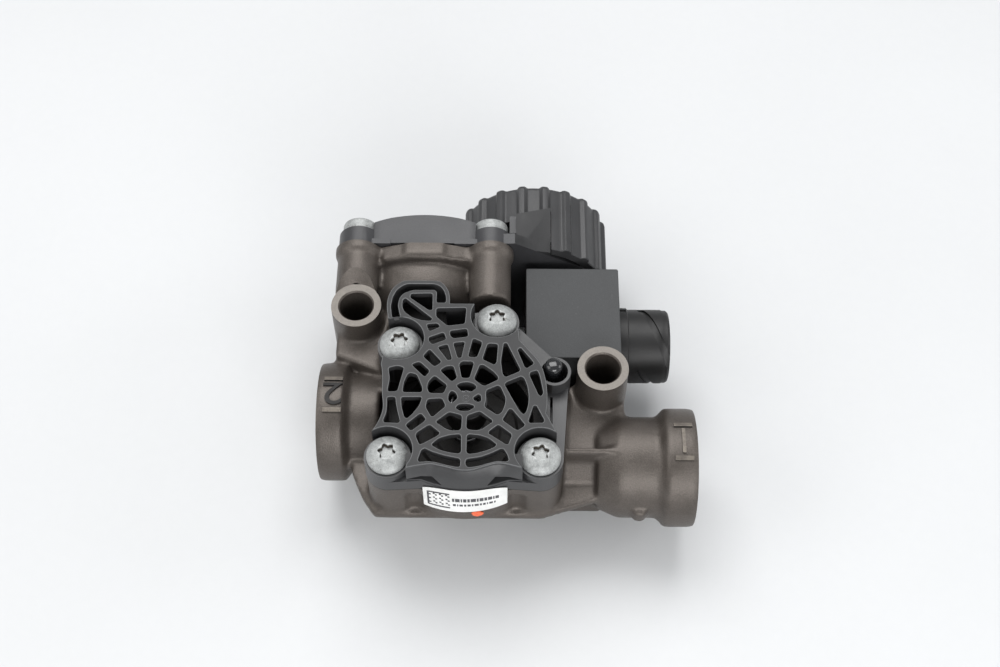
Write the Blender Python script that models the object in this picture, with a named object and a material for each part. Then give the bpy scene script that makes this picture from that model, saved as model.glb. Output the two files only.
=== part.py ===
"""Air-brake modulator valve with an exhaust grille, as an assembly of separate pieces.

All sizes below are in millimetres, in a working frame whose Z axis runs up through the
centre of the grille and whose zero height is the grille's top face:
+X points to the supply port, +Y to the rear cover, +Z out through the exhaust grille.
Every vertex is moved by OFFSET, so the finished part stands on Z = 0 with its bounding box
centred on the Z axis; each piece is scaled to metres once it is complete.
"""

import math

import bmesh
import bpy
from mathutils import Matrix, Vector

MM = 0.001
OFFSET = Vector((-13.05, -31.2, 63.0))

# Heights
BASE_Z = -63.0
DECK_Z = -14.35
GASKET_TOP_Z = -13.75
COVER_FOOT_Z = -13.7
COVER_STEP_Z = -8.4
LUG_TOP_Z = -5.0
WEB_THICK = 2.2
PORT_Z = -34.0
BOSS_TOP_Z = -7.5

# Grille screws: axis positions, and the radius of the recess round each head
SCREWS = {
    "rear_left": (-23.0, 23.2),
    "rear_right": (9.9, 32.7),
    "front_left": (-25.2, -19.2),
    "front_right": (24.4, -19.2),
}
LUG_R = 7.6
RECESS_R = 8.4
WIDE_RECESS_R = 8.9
PAN_HEAD = ((6.75, 1.3), (5.4, 3.1), (3.04, 3.9))
BOLT_HEAD = ((6.2, 3.6), (5.7, 4.5), (4.2, 4.9))
SHANK_R = 3.0
SCREW_HOLE_R = 3.35

# Breather pocket in the grille cover
POCKET = (29.3, 12.3)
POCKET_R = 4.5
POCKET_WALL_R = 5.5

# Mounting bosses
BOSSES = ((-39.2, 41.1), (45.9, 16.4))
BOSS_R = 8.6
BOSS_HOLE_R = 5.8

# Ports: axis height PORT_Z, (end face x, axis y)
DELIVERY_FACE_X, DELIVERY_Y = -51.1, 9.6
SUPPLY_FACE_X, SUPPLY_Y = 77.2, -7.4
BORE_R = 13.2

# Rear cover
HOUSING_X = -16.3
FLANGE_FRONT_Y = 65.8
FLANGE_BACK_Y = 72.8
CASTING_BACK_Y = 65.7
LOBE_R = 7.3
LOBES = {
    "upper_left": (-39.9, -10.5),
    "upper_right": (7.3, -10.5),
    "lower_left": (-39.9, -55.7),
    "lower_right": (7.3, -55.7),
}

# Ribbed solenoid cap
CAP_X = 22.6
CAP_R = 26.4
CAP_RIB_R = 1.9
CAP_RIB_REACH = 1.4
CAP_RIBS = 20
WING_BACK_Y, CAP_BACK_Y = 70.5, 94.2
CAP_CAVITY_R = 23.2
COIL_ROOM_X = 12.3

# Terminal block and bayonet connector
BLOCK_X0, BLOCK_X1 = 20.0, 53.0
BLOCK_Y0, BLOCK_Y1 = 24.5, 62.0
BLOCK_Z0, BLOCK_Z1 = -54.0, -14.0
PLUG_Y = 41.7
PLUG_R = 13.9
PLUG_END_X = 71.3

# Openings of the grille's web, in the plane of its top face
WEB_HOLES = (
    ((-14.0, 28.8), (-10.3, 29.2), (-9.3, 27.9), (-12.9, 25.9)),
    ((-13.1, 23.5), (-8.0, 25.6), (-7.1, 22.8), (-11.7, 20.8), (-12.8, 21.9)),
    ((-5.9, 26.2), (-0.2, 27.1), (0.3, 24.0), (-4.8, 23.2), (-5.9, 24.5)),
    ((-10.8, 35.3), (-0.6, 35.6), (-1.0, 29.1), (-6.9, 28.3), (-10.8, 32.0)),
    ((-9.9, 19.7), (-6.6, 20.9), (-5.0, 15.0), (-6.3, 14.5)),
    ((-4.7, 21.4), (-0.8, 21.9), (-1.9, 15.6), (-3.1, 15.6)),
    ((-12.6, 18.9), (-8.4, 13.9), (-10.7, 12.0), (-14.7, 16.1)),
    ((-15.8, 14.0), (-12.2, 10.4), (-13.8, 8.0), (-18.4, 12.8)),
    ((-8.8, 10.6), (-6.9, 12.2), (-4.5, 12.4), (-3.1, 7.9), (-4.8, 6.3)),
    ((-2.5, 13.1), (-1.6, 14.2), (1.8, 14.1), (2.3, 13.2), (1.0, 7.8), (-1.6, 7.8)),
    ((1.9, 23.3), (4.9, 21.9), (4.8, 20.6), (3.3, 15.8), (0.4, 16.0)),
    ((6.9, 21.3), (10.3, 21.1), (9.9, 14.0), (9.2, 12.9), (5.2, 15.1)),
    ((12.3, 21.4), (13.3, 21.5), (17.8, 11.2), (17.4, 10.4), (12.9, 8.2), (11.4, 14.5)),
    ((16.9, 18.9), (17.9, 19.8), (22.5, 13.6), (20.0, 11.7), (19.3, 12.2)),
    ((21.1, 10.1), (23.5, 11.0), (24.3, 8.5), (25.4, 2.2), (24.6, 1.0), (23.8, 1.6)),
    ((18.2, 8.6), (20.2, 4.5), (20.4, -2.3), (18.8, -5.9), (17.6, -4.5), (12.7, 5.3)),
    ((4.4, 12.8), (5.5, 12.9), (8.7, 10.5), (10.5, 8.2), (6.1, 4.8), (2.5, 7.4)),
    ((6.6, 3.1), (10.5, 5.0), (13.0, 0.3), (12.8, -2.2), (10.4, -6.2), (6.0, -3.0)),
    ((-3.3, 4.9), (0.4, 6.2), (3.6, 4.2), (1.9, 2.6), (0.3, 2.2), (-1.4, 2.6)),
    ((-5.8, 1.2), (-4.9, 2.9), (-3.6, 2.3), (-2.6, 0.3), (-4.5, -1.9), (-5.7, -1.0)),
    ((2.4, 0.3), (4.1, 1.7), (5.0, 0.8), (5.0, -1.0), (3.8, -1.4), (2.6, -0.6)),
    ((-3.4, -3.5), (-2.3, -2.3), (0.2, -2.0), (2.8, -3.0), (1.2, -4.6), (-2.3, -4.5)),
    ((-10.6, 8.6), (-6.3, 4.9), (-7.4, 1.9), (-12.1, 1.9), (-12.9, 4.0)),
    ((-12.6, -0.4), (-7.8, -0.1), (-6.8, -2.8), (-10.6, -6.9), (-11.3, -6.7), (-13.1, -3.4)),
    ((-5.4, -5.2), (-1.2, -6.4), (-1.3, -11.0), (-4.2, -12.1), (-6.1, -11.5), (-9.7, -8.9)),
    ((4.6, -4.8), (9.1, -8.5), (5.3, -11.5), (3.6, -11.9), (1.0, -11.6), (0.5, -6.5)),
    ((-18.7, 9.6), (-16.5, 9.0), (-14.5, 4.0), (-14.5, 2.2), (-20.9, 2.2), (-20.6, 6.0)),
    ((-21.3, 0.3), (-14.4, 0.4), (-15.3, -2.9), (-17.4, -6.0), (-19.0, -7.7), (-20.9, -3.6)),
    ((-26.0, 11.5), (-20.8, 11.6), (-21.5, 8.4), (-22.7, 2.5), (-25.9, 2.4), (-25.3, 7.5)),
    ((-25.9, 0.3), (-23.2, 0.4), (-22.2, -5.3), (-21.3, -8.8), (-26.4, -9.2), (-25.7, -2.3)),
    ((-14.6, -5.7), (-12.9, -7.9), (-17.2, -12.0), (-17.9, -12.0), (-19.3, -10.2)),
    ((-11.6, -9.9), (-8.1, -13.0), (-13.5, -16.8), (-14.6, -17.2), (-16.0, -14.0)),
    ((-10.9, -17.3), (-8.4, -14.9), (-1.9, -13.4), (-1.2, -19.8), (-1.9, -20.4), (-5.0, -20.0)),
    ((0.6, -14.0), (1.2, -13.4), (4.7, -13.7), (10.2, -17.0), (7.2, -19.1), (1.3, -20.5)),
    ((-12.9, -18.6), (-6.1, -21.3), (-1.4, -22.5), (-1.9, -25.2), (-6.0, -24.5),
     (-9.2, -23.5), (-14.5, -23.5)),
    ((1.0, -22.3), (8.4, -20.3), (12.5, -18.7), (14.0, -22.8), (10.4, -23.0),
     (4.9, -24.7), (1.1, -25.2)),
    ((10.7, -9.7), (15.2, -13.4), (14.0, -16.9), (13.2, -16.9), (7.6, -13.0)),
    ((14.2, -3.9), (15.1, -4.0), (19.3, -9.6), (17.1, -11.7), (16.2, -11.4), (12.0, -8.0)),
    ((22.2, -2.6), (23.1, -2.6), (25.7, -8.1), (25.2, -8.9), (20.9, -9.0)),
    ((-19.8, 41.2), (-12.3, 41.4), (-12.2, 34.7), (-13.3, 34.5), (-19.9, 39.6)),
    ((-21.6, 39.4), (-12.1, 31.1), (-15.6, 30.4), (-19.0, 31.6), (-21.7, 33.9), (-22.5, 36.0)),
    ((-25.7, 31.2), (-26.4, 36.0), (-25.9, 39.8), (-24.6, 42.8), (-22.6, 44.6), (-20.9, 45.3),
     (-11.9, 45.3), (-9.9, 44.5), (-8.5, 42.7), (-7.7, 40.2), (-7.6, 37.6), (-10.9, 37.6),
     (-10.8, 42.0), (-11.6, 42.9), (-19.2, 42.8), (-22.5, 41.3), (-23.7, 39.3), (-24.1, 36.4),
     (-23.4, 33.3), (-22.9, 31.6)),
)
# Edges of the raised web between the four screw recesses
WEB_TOP = ((-6.3, 37.3), (-6.4, 40.5), (-7.3, 43.4), (-9.1, 45.8), (-11.6, 46.7),
           (-21.2, 46.7), (-23.4, 46.0), (-25.9, 43.7), (-27.4, 40.3), (-27.8, 36.0),
           (-27.1, 31.0))
WEB_LEFT = ((-28.6, 12.9), (-28.1, 10.3), (-27.8, 5.5), (-27.6, 1.2), (-27.1, -2.5),
            (-27.3, -5.3), (-28.1, -8.1), (-29.1, -10.5))
WEB_FRONT = ((-18.8, -25.8), (-16.7, -25.2), (-12.9, -24.5), (-10.6, -24.3), (-8.1, -24.8),
             (-4.9, -25.6), (-2.4, -26.3), (0.0, -26.5), (2.4, -26.3), (4.9, -25.6),
             (7.7, -24.6), (10.4, -23.9), (13.4, -24.1), (16.6, -24.9), (18.6, -25.5))
WEB_RIGHT = ((26.3, -5.4), (26.8, 0.0), (26.3, 7.0), (24.6, 13.4), (21.0, 18.5), (17.6, 22.7))
# Inside of the cover's walls, before the screw recesses are taken off
CAVITY = ((-18.0, -24.1), (-12.9, -23.2), (-10.6, -23.0), (-8.1, -23.5), (-4.9, -24.3),
          (0.0, -25.2), (4.9, -24.3), (7.7, -23.3), (10.4, -22.6), (13.4, -22.8),
          (17.0, -23.7), (25.7, -12.0), (25.0, -5.4), (25.5, 0.0), (25.0, 6.7), (23.4, 12.7),
          (19.9, 17.7), (16.3, 22.0), (14.0, 30.0), (3.0, 36.0), (-7.6, 36.0), (-7.7, 40.2),
          (-8.5, 42.8), (-10.0, 44.6), (-11.9, 45.4), (-21.0, 45.4), (-22.7, 44.8),
          (-24.8, 42.9), (-26.1, 39.8), (-26.5, 36.0), (-25.8, 31.0), (-22.0, 25.0),
          (-27.2, 13.2), (-26.8, 10.3), (-26.5, 5.5), (-26.3, 1.2), (-25.8, -2.3),
          (-26.0, -5.0), (-26.7, -7.8), (-26.0, -18.0))
BULGE_R = 31.6
FOOT_R = 31.4
FRONT_WALL_Y = -26.9
BODY_FRONT_Y = -27.7


# ---------------------------------------------------------------- building blocks
def vertex(x, y, z):
    """A working-frame point in the finished part's frame, still in millimetres."""
    return Vector((x, y, z)) + OFFSET


def mesh_object(name, points, faces):
    """An object with the given vertices and faces, its normals outwards."""
    mesh = bpy.data.meshes.new(name)
    mesh.from_pydata([vertex(*p) for p in points], [], faces)
    work = bmesh.new()
    work.from_mesh(mesh)
    bmesh.ops.recalc_face_normals(work, faces=work.faces)
    if work.calc_volume(signed=True) < 0:
        bmesh.ops.reverse_faces(work, faces=work.faces)
    work.to_mesh(mesh)
    work.free()
    ob = bpy.data.objects.new(name, mesh)
    bpy.context.collection.objects.link(ob)
    return ob


def prism(name, outline, low, high, axis="Z"):
    """A straight extrusion of a plane outline along an axis."""
    count = len(outline)
    points = []
    for level in (low, high):
        for a, b in outline:
            points.append({"Z": (a, b, level), "Y": (a, level, b), "X": (level, a, b)}[axis])
    faces = [tuple(range(count))[::-1], tuple(range(count, 2 * count))]
    for i in range(count):
        j = (i + 1) % count
        faces.append((i, j, count + j, count + i))
    return mesh_object(name, points, faces)


def prisms(name, outlines, low, high):
    """Several separate vertical prisms as one cutter."""
    points, faces = [], []
    for outline in outlines:
        start, count = len(points), len(outline)
        points += [(a, b, low) for a, b in outline] + [(a, b, high) for a, b in outline]
        faces.append(tuple(range(start, start + count)))
        faces.append(tuple(range(start + 2 * count - 1, start + count - 1, -1)))
        for i in range(count):
            j = (i + 1) % count
            faces.append((start + j, start + i, start + count + i, start + count + j))
    return mesh_object(name, points, faces)


def tapered(name, low_outline, low, high_outline, high):
    """A solid between two level outlines with the same number of corners."""
    count = len(low_outline)
    points = [(a, b, low) for a, b in low_outline] + [(a, b, high) for a, b in high_outline]
    faces = [tuple(range(count))[::-1], tuple(range(count, 2 * count))]
    for i in range(count):
        j = (i + 1) % count
        faces += [(i, j, count + j), (i, count + j, count + i)]
    return mesh_object(name, points, faces)


def turned(name, axis, centre, profile, segments):
    """A solid of revolution. profile: (radius, distance along the axis), closed on itself."""
    c1, c2 = centre
    points, rings = [], []
    for radius, along in profile:
        ring = []
        for k in range(segments if radius > 1e-6 else 1):
            turn = 2 * math.pi * k / segments
            u, v = c1 + radius * math.cos(turn), c2 + radius * math.sin(turn)
            points.append({"Z": (u, v, along), "Y": (u, along, v), "X": (along, u, v)}[axis])
            ring.append(len(points) - 1)
        rings.append(ring)
    faces = []
    for here, there in zip(rings, rings[1:] + rings[:1]):
        if len(here) == 1 and len(there) == 1:
            continue
        for k in range(segments):
            n = (k + 1) % segments
            if len(here) == 1:
                faces.append((here[0], there[n], there[k]))
            elif len(there) == 1:
                faces.append((here[k], here[n], there[0]))
            else:
                faces.append((here[k], here[n], there[n], there[k]))
    return mesh_object(name, points, faces)


def rod(name, axis, centre, radius, low, high, segments=32, far_radius=None):
    """A cylinder, or a cone frustum if far_radius is given."""
    far = radius if far_radius is None else far_radius
    profile = [(0.0, low), (radius, low), (far, high), (0.0, high)]
    return turned(name, axis, centre, profile, segments)


def tube(name, axis, centre, inner, outer, low, high, segments=32):
    """A hollow cylinder."""
    profile = [(inner, low), (outer, low), (outer, high), (inner, high)]
    return turned(name, axis, centre, profile, segments)


def ring(name, axis, centre, radius, wire_r, along, segments=32, sides=6):
    """A torus, such as an O-ring."""
    profile = []
    for k in range(sides):
        turn = 2 * math.pi * k / sides
        profile.append((radius + wire_r * math.cos(turn), along + wire_r * math.sin(turn)))
    return turned(name, axis, centre, profile, segments)


def strut(name, start, end, radius, segments=20):
    """A cylinder between two points."""
    a, b = Vector(start), Vector(end)
    along = (b - a).normalized()
    side = along.orthogonal().normalized()
    other = along.cross(side)
    points = []
    for centre in (a, b):
        for k in range(segments):
            turn = 2 * math.pi * k / segments
            points.append(centre + radius * (math.cos(turn) * side + math.sin(turn) * other))
    faces = [tuple(range(segments))[::-1], tuple(range(segments, 2 * segments))]
    for k in range(segments):
        n = (k + 1) % segments
        faces.append((k, n, segments + n, segments + k))
    return mesh_object(name, [tuple(p) for p in points], faces)


def box(name, x, y, z):
    """A block between the given (low, high) limits."""
    outline = ((x[0], y[0]), (x[1], y[0]), (x[1], y[1]), (x[0], y[1]))
    return prism(name, outline, z[0], z[1])


def coil_spring(name, axis, centre, radius, wire_r, low, high, turns, per_turn=12, sides=5):
    """A helical compression spring with plain ends."""
    c1, c2 = centre
    steps = int(turns * per_turn)
    points, faces = [], []
    for i in range(steps + 1):
        turn = 2 * math.pi * i / per_turn
        along = low + wire_r + (high - low - 2 * wire_r) * i / steps
        for k in range(sides):
            lean = 2 * math.pi * k / sides
            r = radius + wire_r * math.cos(lean)
            t = along + wire_r * math.sin(lean)
            u, v = c1 + r * math.cos(turn), c2 + r * math.sin(turn)
            points.append({"Z": (u, v, t), "Y": (u, t, v)}[axis])
    for i in range(steps):
        for k in range(sides):
            n = (k + 1) % sides
            a, b = i * sides, (i + 1) * sides
            faces.append((a + k, a + n, b + n, b + k))
    faces.append(tuple(range(sides)))
    faces.append(tuple(range(steps * sides, (steps + 1) * sides))[::-1])
    return mesh_object(name, points, faces)


def combine(ob, tool, how):
    """Unites or cuts ob with tool, which is used up."""
    tool.hide_render = True
    tool.display_type = "WIRE"
    change = ob.modifiers.new(how.lower(), "BOOLEAN")
    change.operation = how
    change.solver = "EXACT"
    change.object = tool
    bpy.context.view_layer.update()
    result = bpy.data.meshes.new_from_object(
        ob.evaluated_get(bpy.context.evaluated_depsgraph_get())
    )
    ob.modifiers.clear()
    weld(result, 0.002)
    old = ob.data
    ob.data = result
    bpy.data.meshes.remove(old)
    bpy.data.objects.remove(tool)


def add(ob, *tools):
    for tool in tools:
        combine(ob, tool, "UNION")


def cut(ob, *tools):
    for tool in tools:
        combine(ob, tool, "DIFFERENCE")


def weld(mesh, distance):
    """Joins vertices closer together than distance."""
    work = bmesh.new()
    work.from_mesh(mesh)
    bmesh.ops.remove_doubles(work, verts=work.verts, dist=distance)
    work.to_mesh(mesh)
    work.free()


def arc(centre, radius, first_deg, last_deg, steps):
    """Points on an arc, ends included, counter-clockwise if last_deg is the larger."""
    points = []
    for i in range(steps + 1):
        turn = math.radians(first_deg + (last_deg - first_deg) * i / steps)
        points.append((centre[0] + radius * math.cos(turn), centre[1] + radius * math.sin(turn)))
    return points


def shrunk(outline, gap):
    """The counter-clockwise outline moved inwards by gap, with mitred corners."""
    moved, count = [], len(outline)
    for i in range(count):
        before = Vector(outline[i - 1])
        here = Vector(outline[i])
        after = Vector(outline[(i + 1) % count])
        d1 = (here - before).normalized()
        d2 = (after - here).normalized()
        n1, n2 = Vector((-d1.y, d1.x)), Vector((-d2.y, d2.x))
        mitre = (n1 + n2).normalized()
        reach = gap / max(mitre.dot(n1), 0.5)
        moved.append(tuple(here + mitre * reach))
    return moved


# ---------------------------------------------------------------- shared outlines
def web_outline():
    """Outer edge of the raised web, counter-clockwise."""
    points = list(WEB_FRONT)
    points += arc(SCREWS["front_right"], RECESS_R, 230, 50, 10)[1:]
    points += list(WEB_RIGHT)
    points += arc(SCREWS["rear_right"], WIDE_RECESS_R, -35, -211, 10)
    points += list(WEB_TOP)
    points += arc(SCREWS["rear_left"], RECESS_R, 112, -128, 12)
    points += list(WEB_LEFT)
    points += arc(SCREWS["front_left"], RECESS_R, 128, -44, 10)[:-1]
    return points


def foot_outline():
    """Outer edge of the grille cover's foot, counter-clockwise."""
    points = []
    for x in (-14.0, -10.5, -7.0, -3.5, 0.0, 3.5, 7.0, 10.5, 14.0):
        points.append((x, -math.sqrt(FOOT_R ** 2 - x * x)))
    points += arc(SCREWS["front_right"], LUG_R, -95, 0, 6)
    points += arc(POCKET, POCKET_WALL_R, -30, 45, 4)
    points += arc(SCREWS["rear_right"], LUG_R, 0, 112, 7)
    points += list(WEB_TOP)
    points += arc(SCREWS["rear_left"], LUG_R, 130, 215, 5)
    points += list(WEB_LEFT)[1:-1]
    points += arc(SCREWS["front_left"], LUG_R, 150, 275, 8)
    return points


# ---------------------------------------------------------------- casting
def valve_body():
    deck = shrunk(foot_outline(), 0.1)
    body = prism("valve_body", deck, -31.0, DECK_Z)
    belt = [(-31.0, -27.5), (-28.0, BODY_FRONT_Y), (25.5, BODY_FRONT_Y), (29.5, -26.3),
            (45.0, -21.2), (50.0, -18.0), (50.5, 10.0), (40.0, 22.0), (30.0, 21.0),
            (15.2, 32.2), (15.0, 57.0), (-40.0, 57.0), (-42.0, 30.0), (-41.0, 0.0),
            (-39.0, -12.7), (-35.4, -21.0)]
    add(body, prism("belt", belt, -36.5, -30.0))
    under = [(-30.0, -26.0), (-27.0, -26.2), (24.5, -26.2), (28.5, -25.0), (44.0, -20.0),
             (49.0, -17.0), (49.5, 9.5), (39.5, 21.5), (29.5, 20.5), (15.0, 31.7),
             (14.8, 56.5), (-39.5, 56.5), (-41.5, 29.5), (-40.5, 0.5), (-38.5, -12.0),
             (-34.9, -20.0)]
    base = [(-26.0, -7.0), (-22.0, -8.0), (20.0, -8.0), (24.0, -7.0), (36.0, -5.0),
            (41.0, -2.0), (42.0, 9.0), (36.0, 18.0), (28.0, 19.0), (14.4, 30.5),
            (14.2, 52.0), (-36.0, 52.0), (-38.0, 29.0), (-36.0, 8.0), (-33.0, 2.0),
            (-30.0, -3.0)]
    pedestal = tapered("pedestal", base, BASE_Z, under, -36.4)
    cut(pedestal, box("under", (16.0, 70.0), (-40.0, 40.0), (-70.0, -52.0)))
    add(body, pedestal)

    slope_x = (-16.0, -12.0, -8.0, -4.0, 0.0, 4.0, 8.0, 12.0, 16.0)
    points, faces = [], []
    for x in slope_x:
        front = -math.sqrt(BULGE_R ** 2 - x * x)
        for y, z in ((-20.0, -14.5), (front, -14.5), (front, -24.6), (-27.65, -34.0),
                     (-20.0, -34.0)):
            points.append((x, y, z))
    for i in range(len(slope_x) - 1):
        for k in range(5):
            n = (k + 1) % 5
            faces.append((5 * i + k, 5 * i + n, 5 * i + 5 + n, 5 * i + 5 + k))
    faces.append(tuple(range(5)))
    faces.append(tuple(range(5 * len(slope_x) - 5, 5 * len(slope_x))))
    add(body, mesh_object("bulge", points, faces))

    bridge = [(22.0, -17.0), (46.0, -17.0), (54.0, -8.0), (54.0, 14.0), (46.0, 22.0),
              (28.0, 15.0)]
    add(body, prism("bridge", bridge, -50.0, -23.0))
    left_link = [(-46.5, 27.0), (-30.0, 20.0), (-20.0, 40.0), (-38.0, 48.5), (-46.5, 41.0)]
    add(body, prism("left_link", left_link, -60.0, -17.5))

    # rear housing of the hold valve, its rim and the four bolt lobes
    housing = (HOUSING_X, PORT_Z)
    add(body, rod("cone", "Y", housing, 17.0, 30.0, 60.5, 32, 26.8))
    add(body, rod("rim", "Y", housing, 29.0, 60.0, CASTING_BACK_Y, 40))
    brow = [(-31.0, -20.0), (-31.0, -6.8), (-22.5, -4.6), (-9.7, -4.6), (0.0, -6.8),
            (0.0, -20.0)]
    add(body, prism("brow", brow, 60.2, CASTING_BACK_Y - 0.05, "Y"))
    for key, centre in LOBES.items():
        front = 43.0 if key == "upper_right" else 47.0
        add(body, rod("lobe", "Y", centre, LOBE_R, front, 63.5, 20))
        band_r = LOBE_R + 0.3 if key.startswith("upper") else LOBE_R - 0.1
        add(body, rod("lobe_band", "Y", centre, band_r, 63.2, CASTING_BACK_Y - 0.1, 20))
    cut(body, rod("boss_air", "Z", BOSSES[0], BOSS_R + 0.1, BOSS_TOP_Z, 5.0, 24))

    # ports
    delivery = [(0.0, -30.0), (17.2, -30.0), (17.2, -40.9), (18.6, -41.2), (20.3, -42.6),
                (20.3, DELIVERY_FACE_X + 1.2), (19.1, DELIVERY_FACE_X),
                (0.0, DELIVERY_FACE_X)]
    add(body, turned("delivery", "X", (DELIVERY_Y, PORT_Z), delivery, 32))
    supply = [(0.0, 44.0), (14.0, 44.0), (17.3, 51.5), (17.3, 64.8), (20.0, 67.3),
              (20.0, SUPPLY_FACE_X - 1.2), (18.8, SUPPLY_FACE_X), (0.0, SUPPLY_FACE_X)]
    add(body, turned("supply", "X", (SUPPLY_Y, PORT_Z), supply, 32))
    add(body, rod("nub", "Z", (58.5, SUPPLY_Y - 17.0), 2.6, -36.6, -31.4, 12))

    # mounting bosses, drawn in slightly towards the base
    for centre in BOSSES:
        add(body, rod("boss", "Z", centre, BOSS_R + 0.2, BASE_Z, BOSS_TOP_Z, 28, BOSS_R))

    # openings: everything below is reached from a port, the grille or the rear face
    cut(body, box("u_clear", (-29.5, -4.5), (30.0, 47.6), (-14.4, 2.0)))
    cut(body, rod("well", "Z", (0.0, 0.0), 22.5, -30.0, -10.0, 32))
    add(body, tube("exhaust_seat", "Z", (0.0, 0.0), 7.0, 9.8, -31.0, -24.0, 24))
    cut(body, rod("seat_bore", "Z", (0.0, 0.0), 8.0, -44.0, -20.0, 24))
    cut(body, rod("delivery_way", "X", (6.0, -42.0), 7.0, -46.0, 3.0, 16))
    cut(body, rod("delivery_bore", "X", (DELIVERY_Y, PORT_Z), BORE_R, -60.0, -38.0, 28))
    cut(body, rod("supply_bore", "X", (SUPPLY_Y, PORT_Z), BORE_R, 59.0, 90.0, 28))
    cut(body, strut("supply_way", (63.0, -7.4, -37.0), (30.0, -5.0, -41.0), 6.0, 16))
    cut(body, strut("supply_rise", (32.0, -7.5, -41.0), (-5.5, 51.0, -42.5), 5.5, 16))
    cut(body, rod("hold_chamber", "Y", housing, 22.0, 48.5, 80.0, 32))
    add(body, tube("hold_seat", "Y", housing, 7.0, 9.8, 47.5, 53.6, 24))
    cut(body, rod("hold_bore", "Y", housing, 8.0, 24.0, 60.0, 24))
    cut(body, strut("hold_way", (HOUSING_X, 30.0, -36.0), (HOUSING_X, 6.0, -43.0), 6.0, 16))

    for centre in SCREWS.values():
        cut(body, rod("screw_hole", "Z", centre, SCREW_HOLE_R, -29.0, -5.0, 16))
    for centre in LOBES.values():
        cut(body, rod("bolt_hole", "Y", centre, SCREW_HOLE_R, 50.0, 70.0, 16))
    for centre in BOSSES:
        cut(body, rod("mount_hole", "Z", centre, BOSS_HOLE_R, BASE_Z - 5.0, 5.0, 28))
    return body


# ---------------------------------------------------------------- exhaust cover
def cover_cavity(low, high):
    """The space inside the cover's walls, used as a cutter."""
    room = prism("cavity", CAVITY, low, high)
    for key, centre in SCREWS.items():
        wall = WIDE_RECESS_R if key == "rear_right" else RECESS_R
        cut(room, rod("pillar", "Z", centre, wall + 1.4, low - 1.0, high + 1.0, 24))
    return room


def exhaust_cover():
    cover = prism("exhaust_cover", web_outline(), COVER_FOOT_Z, 0.0)
    add(cover, prism("foot", foot_outline(), COVER_FOOT_Z - 0.0, COVER_STEP_Z))

    # sloping front skirt, from the foot's bulge up to the web's front edge
    points, faces = [], []
    columns = [(x, y) for x, y in WEB_FRONT if abs(x) <= 15.0]
    for x, top_y in columns:
        low_y = min(-math.sqrt(FOOT_R ** 2 - x * x), FRONT_WALL_Y)
        for y, z in ((-20.0, COVER_STEP_Z - 0.6), (low_y + 0.02, COVER_STEP_Z - 0.6),
                     (top_y + 0.02, -0.3), (-20.0, -0.3)):
            points.append((x, y, z))
    for i in range(len(columns) - 1):
        for k in range(4):
            n = (k + 1) % 4
            faces.append((4 * i + k, 4 * i + n, 4 * i + 4 + n, 4 * i + 4 + k))
    faces.append((0, 1, 2, 3))
    last = 4 * len(columns) - 4
    faces.append((last, last + 1, last + 2, last + 3))
    add(cover, mesh_object("skirt", points, faces))

    for centre in SCREWS.values():
        add(cover, rod("lug", "Z", centre, LUG_R, COVER_FOOT_Z, LUG_TOP_Z, 24))
    add(cover, rod("pocket_wall", "Z", POCKET, POCKET_WALL_R, COVER_FOOT_Z, -3.0, 20))

    cut(cover, cover_cavity(-20.0, -WEB_THICK))
    cut(cover, prisms("windows", WEB_HOLES, -WEB_THICK - 0.4, 3.0))
    for centre in SCREWS.values():
        cut(cover, rod("screw_way", "Z", centre, SCREW_HOLE_R, -20.0, 0.0, 16))
    cut(cover, rod("pocket", "Z", POCKET, POCKET_R, -11.5, 3.0, 20))

    # spring guide under the hub
    add(cover, tube("guide", "Z", (0.0, 0.0), 5.9, 7.0, -11.0, -WEB_THICK + 0.6, 20))
    return cover


def exhaust_gasket():
    outer = shrunk(foot_outline(), 0.1)
    gasket = prism("exhaust_cover_gasket", outer, DECK_Z + 0.03, GASKET_TOP_Z)
    cut(gasket, cover_cavity(DECK_Z - 2.0, GASKET_TOP_Z + 2.0))
    for centre in SCREWS.values():
        cut(gasket, rod("hole", "Z", centre, SCREW_HOLE_R, -20.0, 0.0, 16))
    return gasket


# ---------------------------------------------------------------- fasteners
def star_outline(centre, outer, inner, points=6):
    """Six-lobe drive recess."""
    outline = []
    for k in range(points * 2):
        radius = outer if k % 2 == 0 else inner
        turn = math.pi * k / points
        outline.append((centre[0] + radius * math.cos(turn), centre[1] + radius * math.sin(turn)))
    return outline


def screw(name, axis, centre, seat, tip, head):
    """A screw: seat is the underside of its head, tip the end of its shank, head lists
    (radius, height) points from the head's rim to its top."""
    profile = [(0.0, tip), (SHANK_R, tip), (SHANK_R, seat), (head[0][0], seat)]
    profile += [(radius, seat + height) for radius, height in head]
    profile.append((0.0, seat + head[-1][1]))
    screw = turned(name, axis, centre, profile, 20)
    levels = (seat + head[-1][1] - 2.5, seat + head[-1][1] + 2.0)
    cut(screw, prism("drive", star_outline(centre, 2.8, 2.0), levels[0], levels[1], axis))
    return screw


# ---------------------------------------------------------------- rear cover and cap
def gusset():
    """Sloping tab on the wing plate that reaches back over the cap."""
    sides = ((16.4, -8.0, 80.2), (28.7, -10.2, 83.0))
    points = []
    for x, front_z, back_y in sides:
        for y, z in ((66.2, front_z), (back_y, -5.8), (back_y, -9.4), (70.3, -9.4),
                     (70.3, -12.0), (66.2, -12.0)):
            points.append((x, y, z))
    faces = [(0, 1, 2, 3, 4, 5), (11, 10, 9, 8, 7, 6), (0, 6, 7), (0, 7, 1)]
    for k in range(1, 6):
        n = (k + 1) % 6
        faces.append((k, k + 6, n + 6, n))
    return mesh_object("gusset", points, faces)


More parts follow.
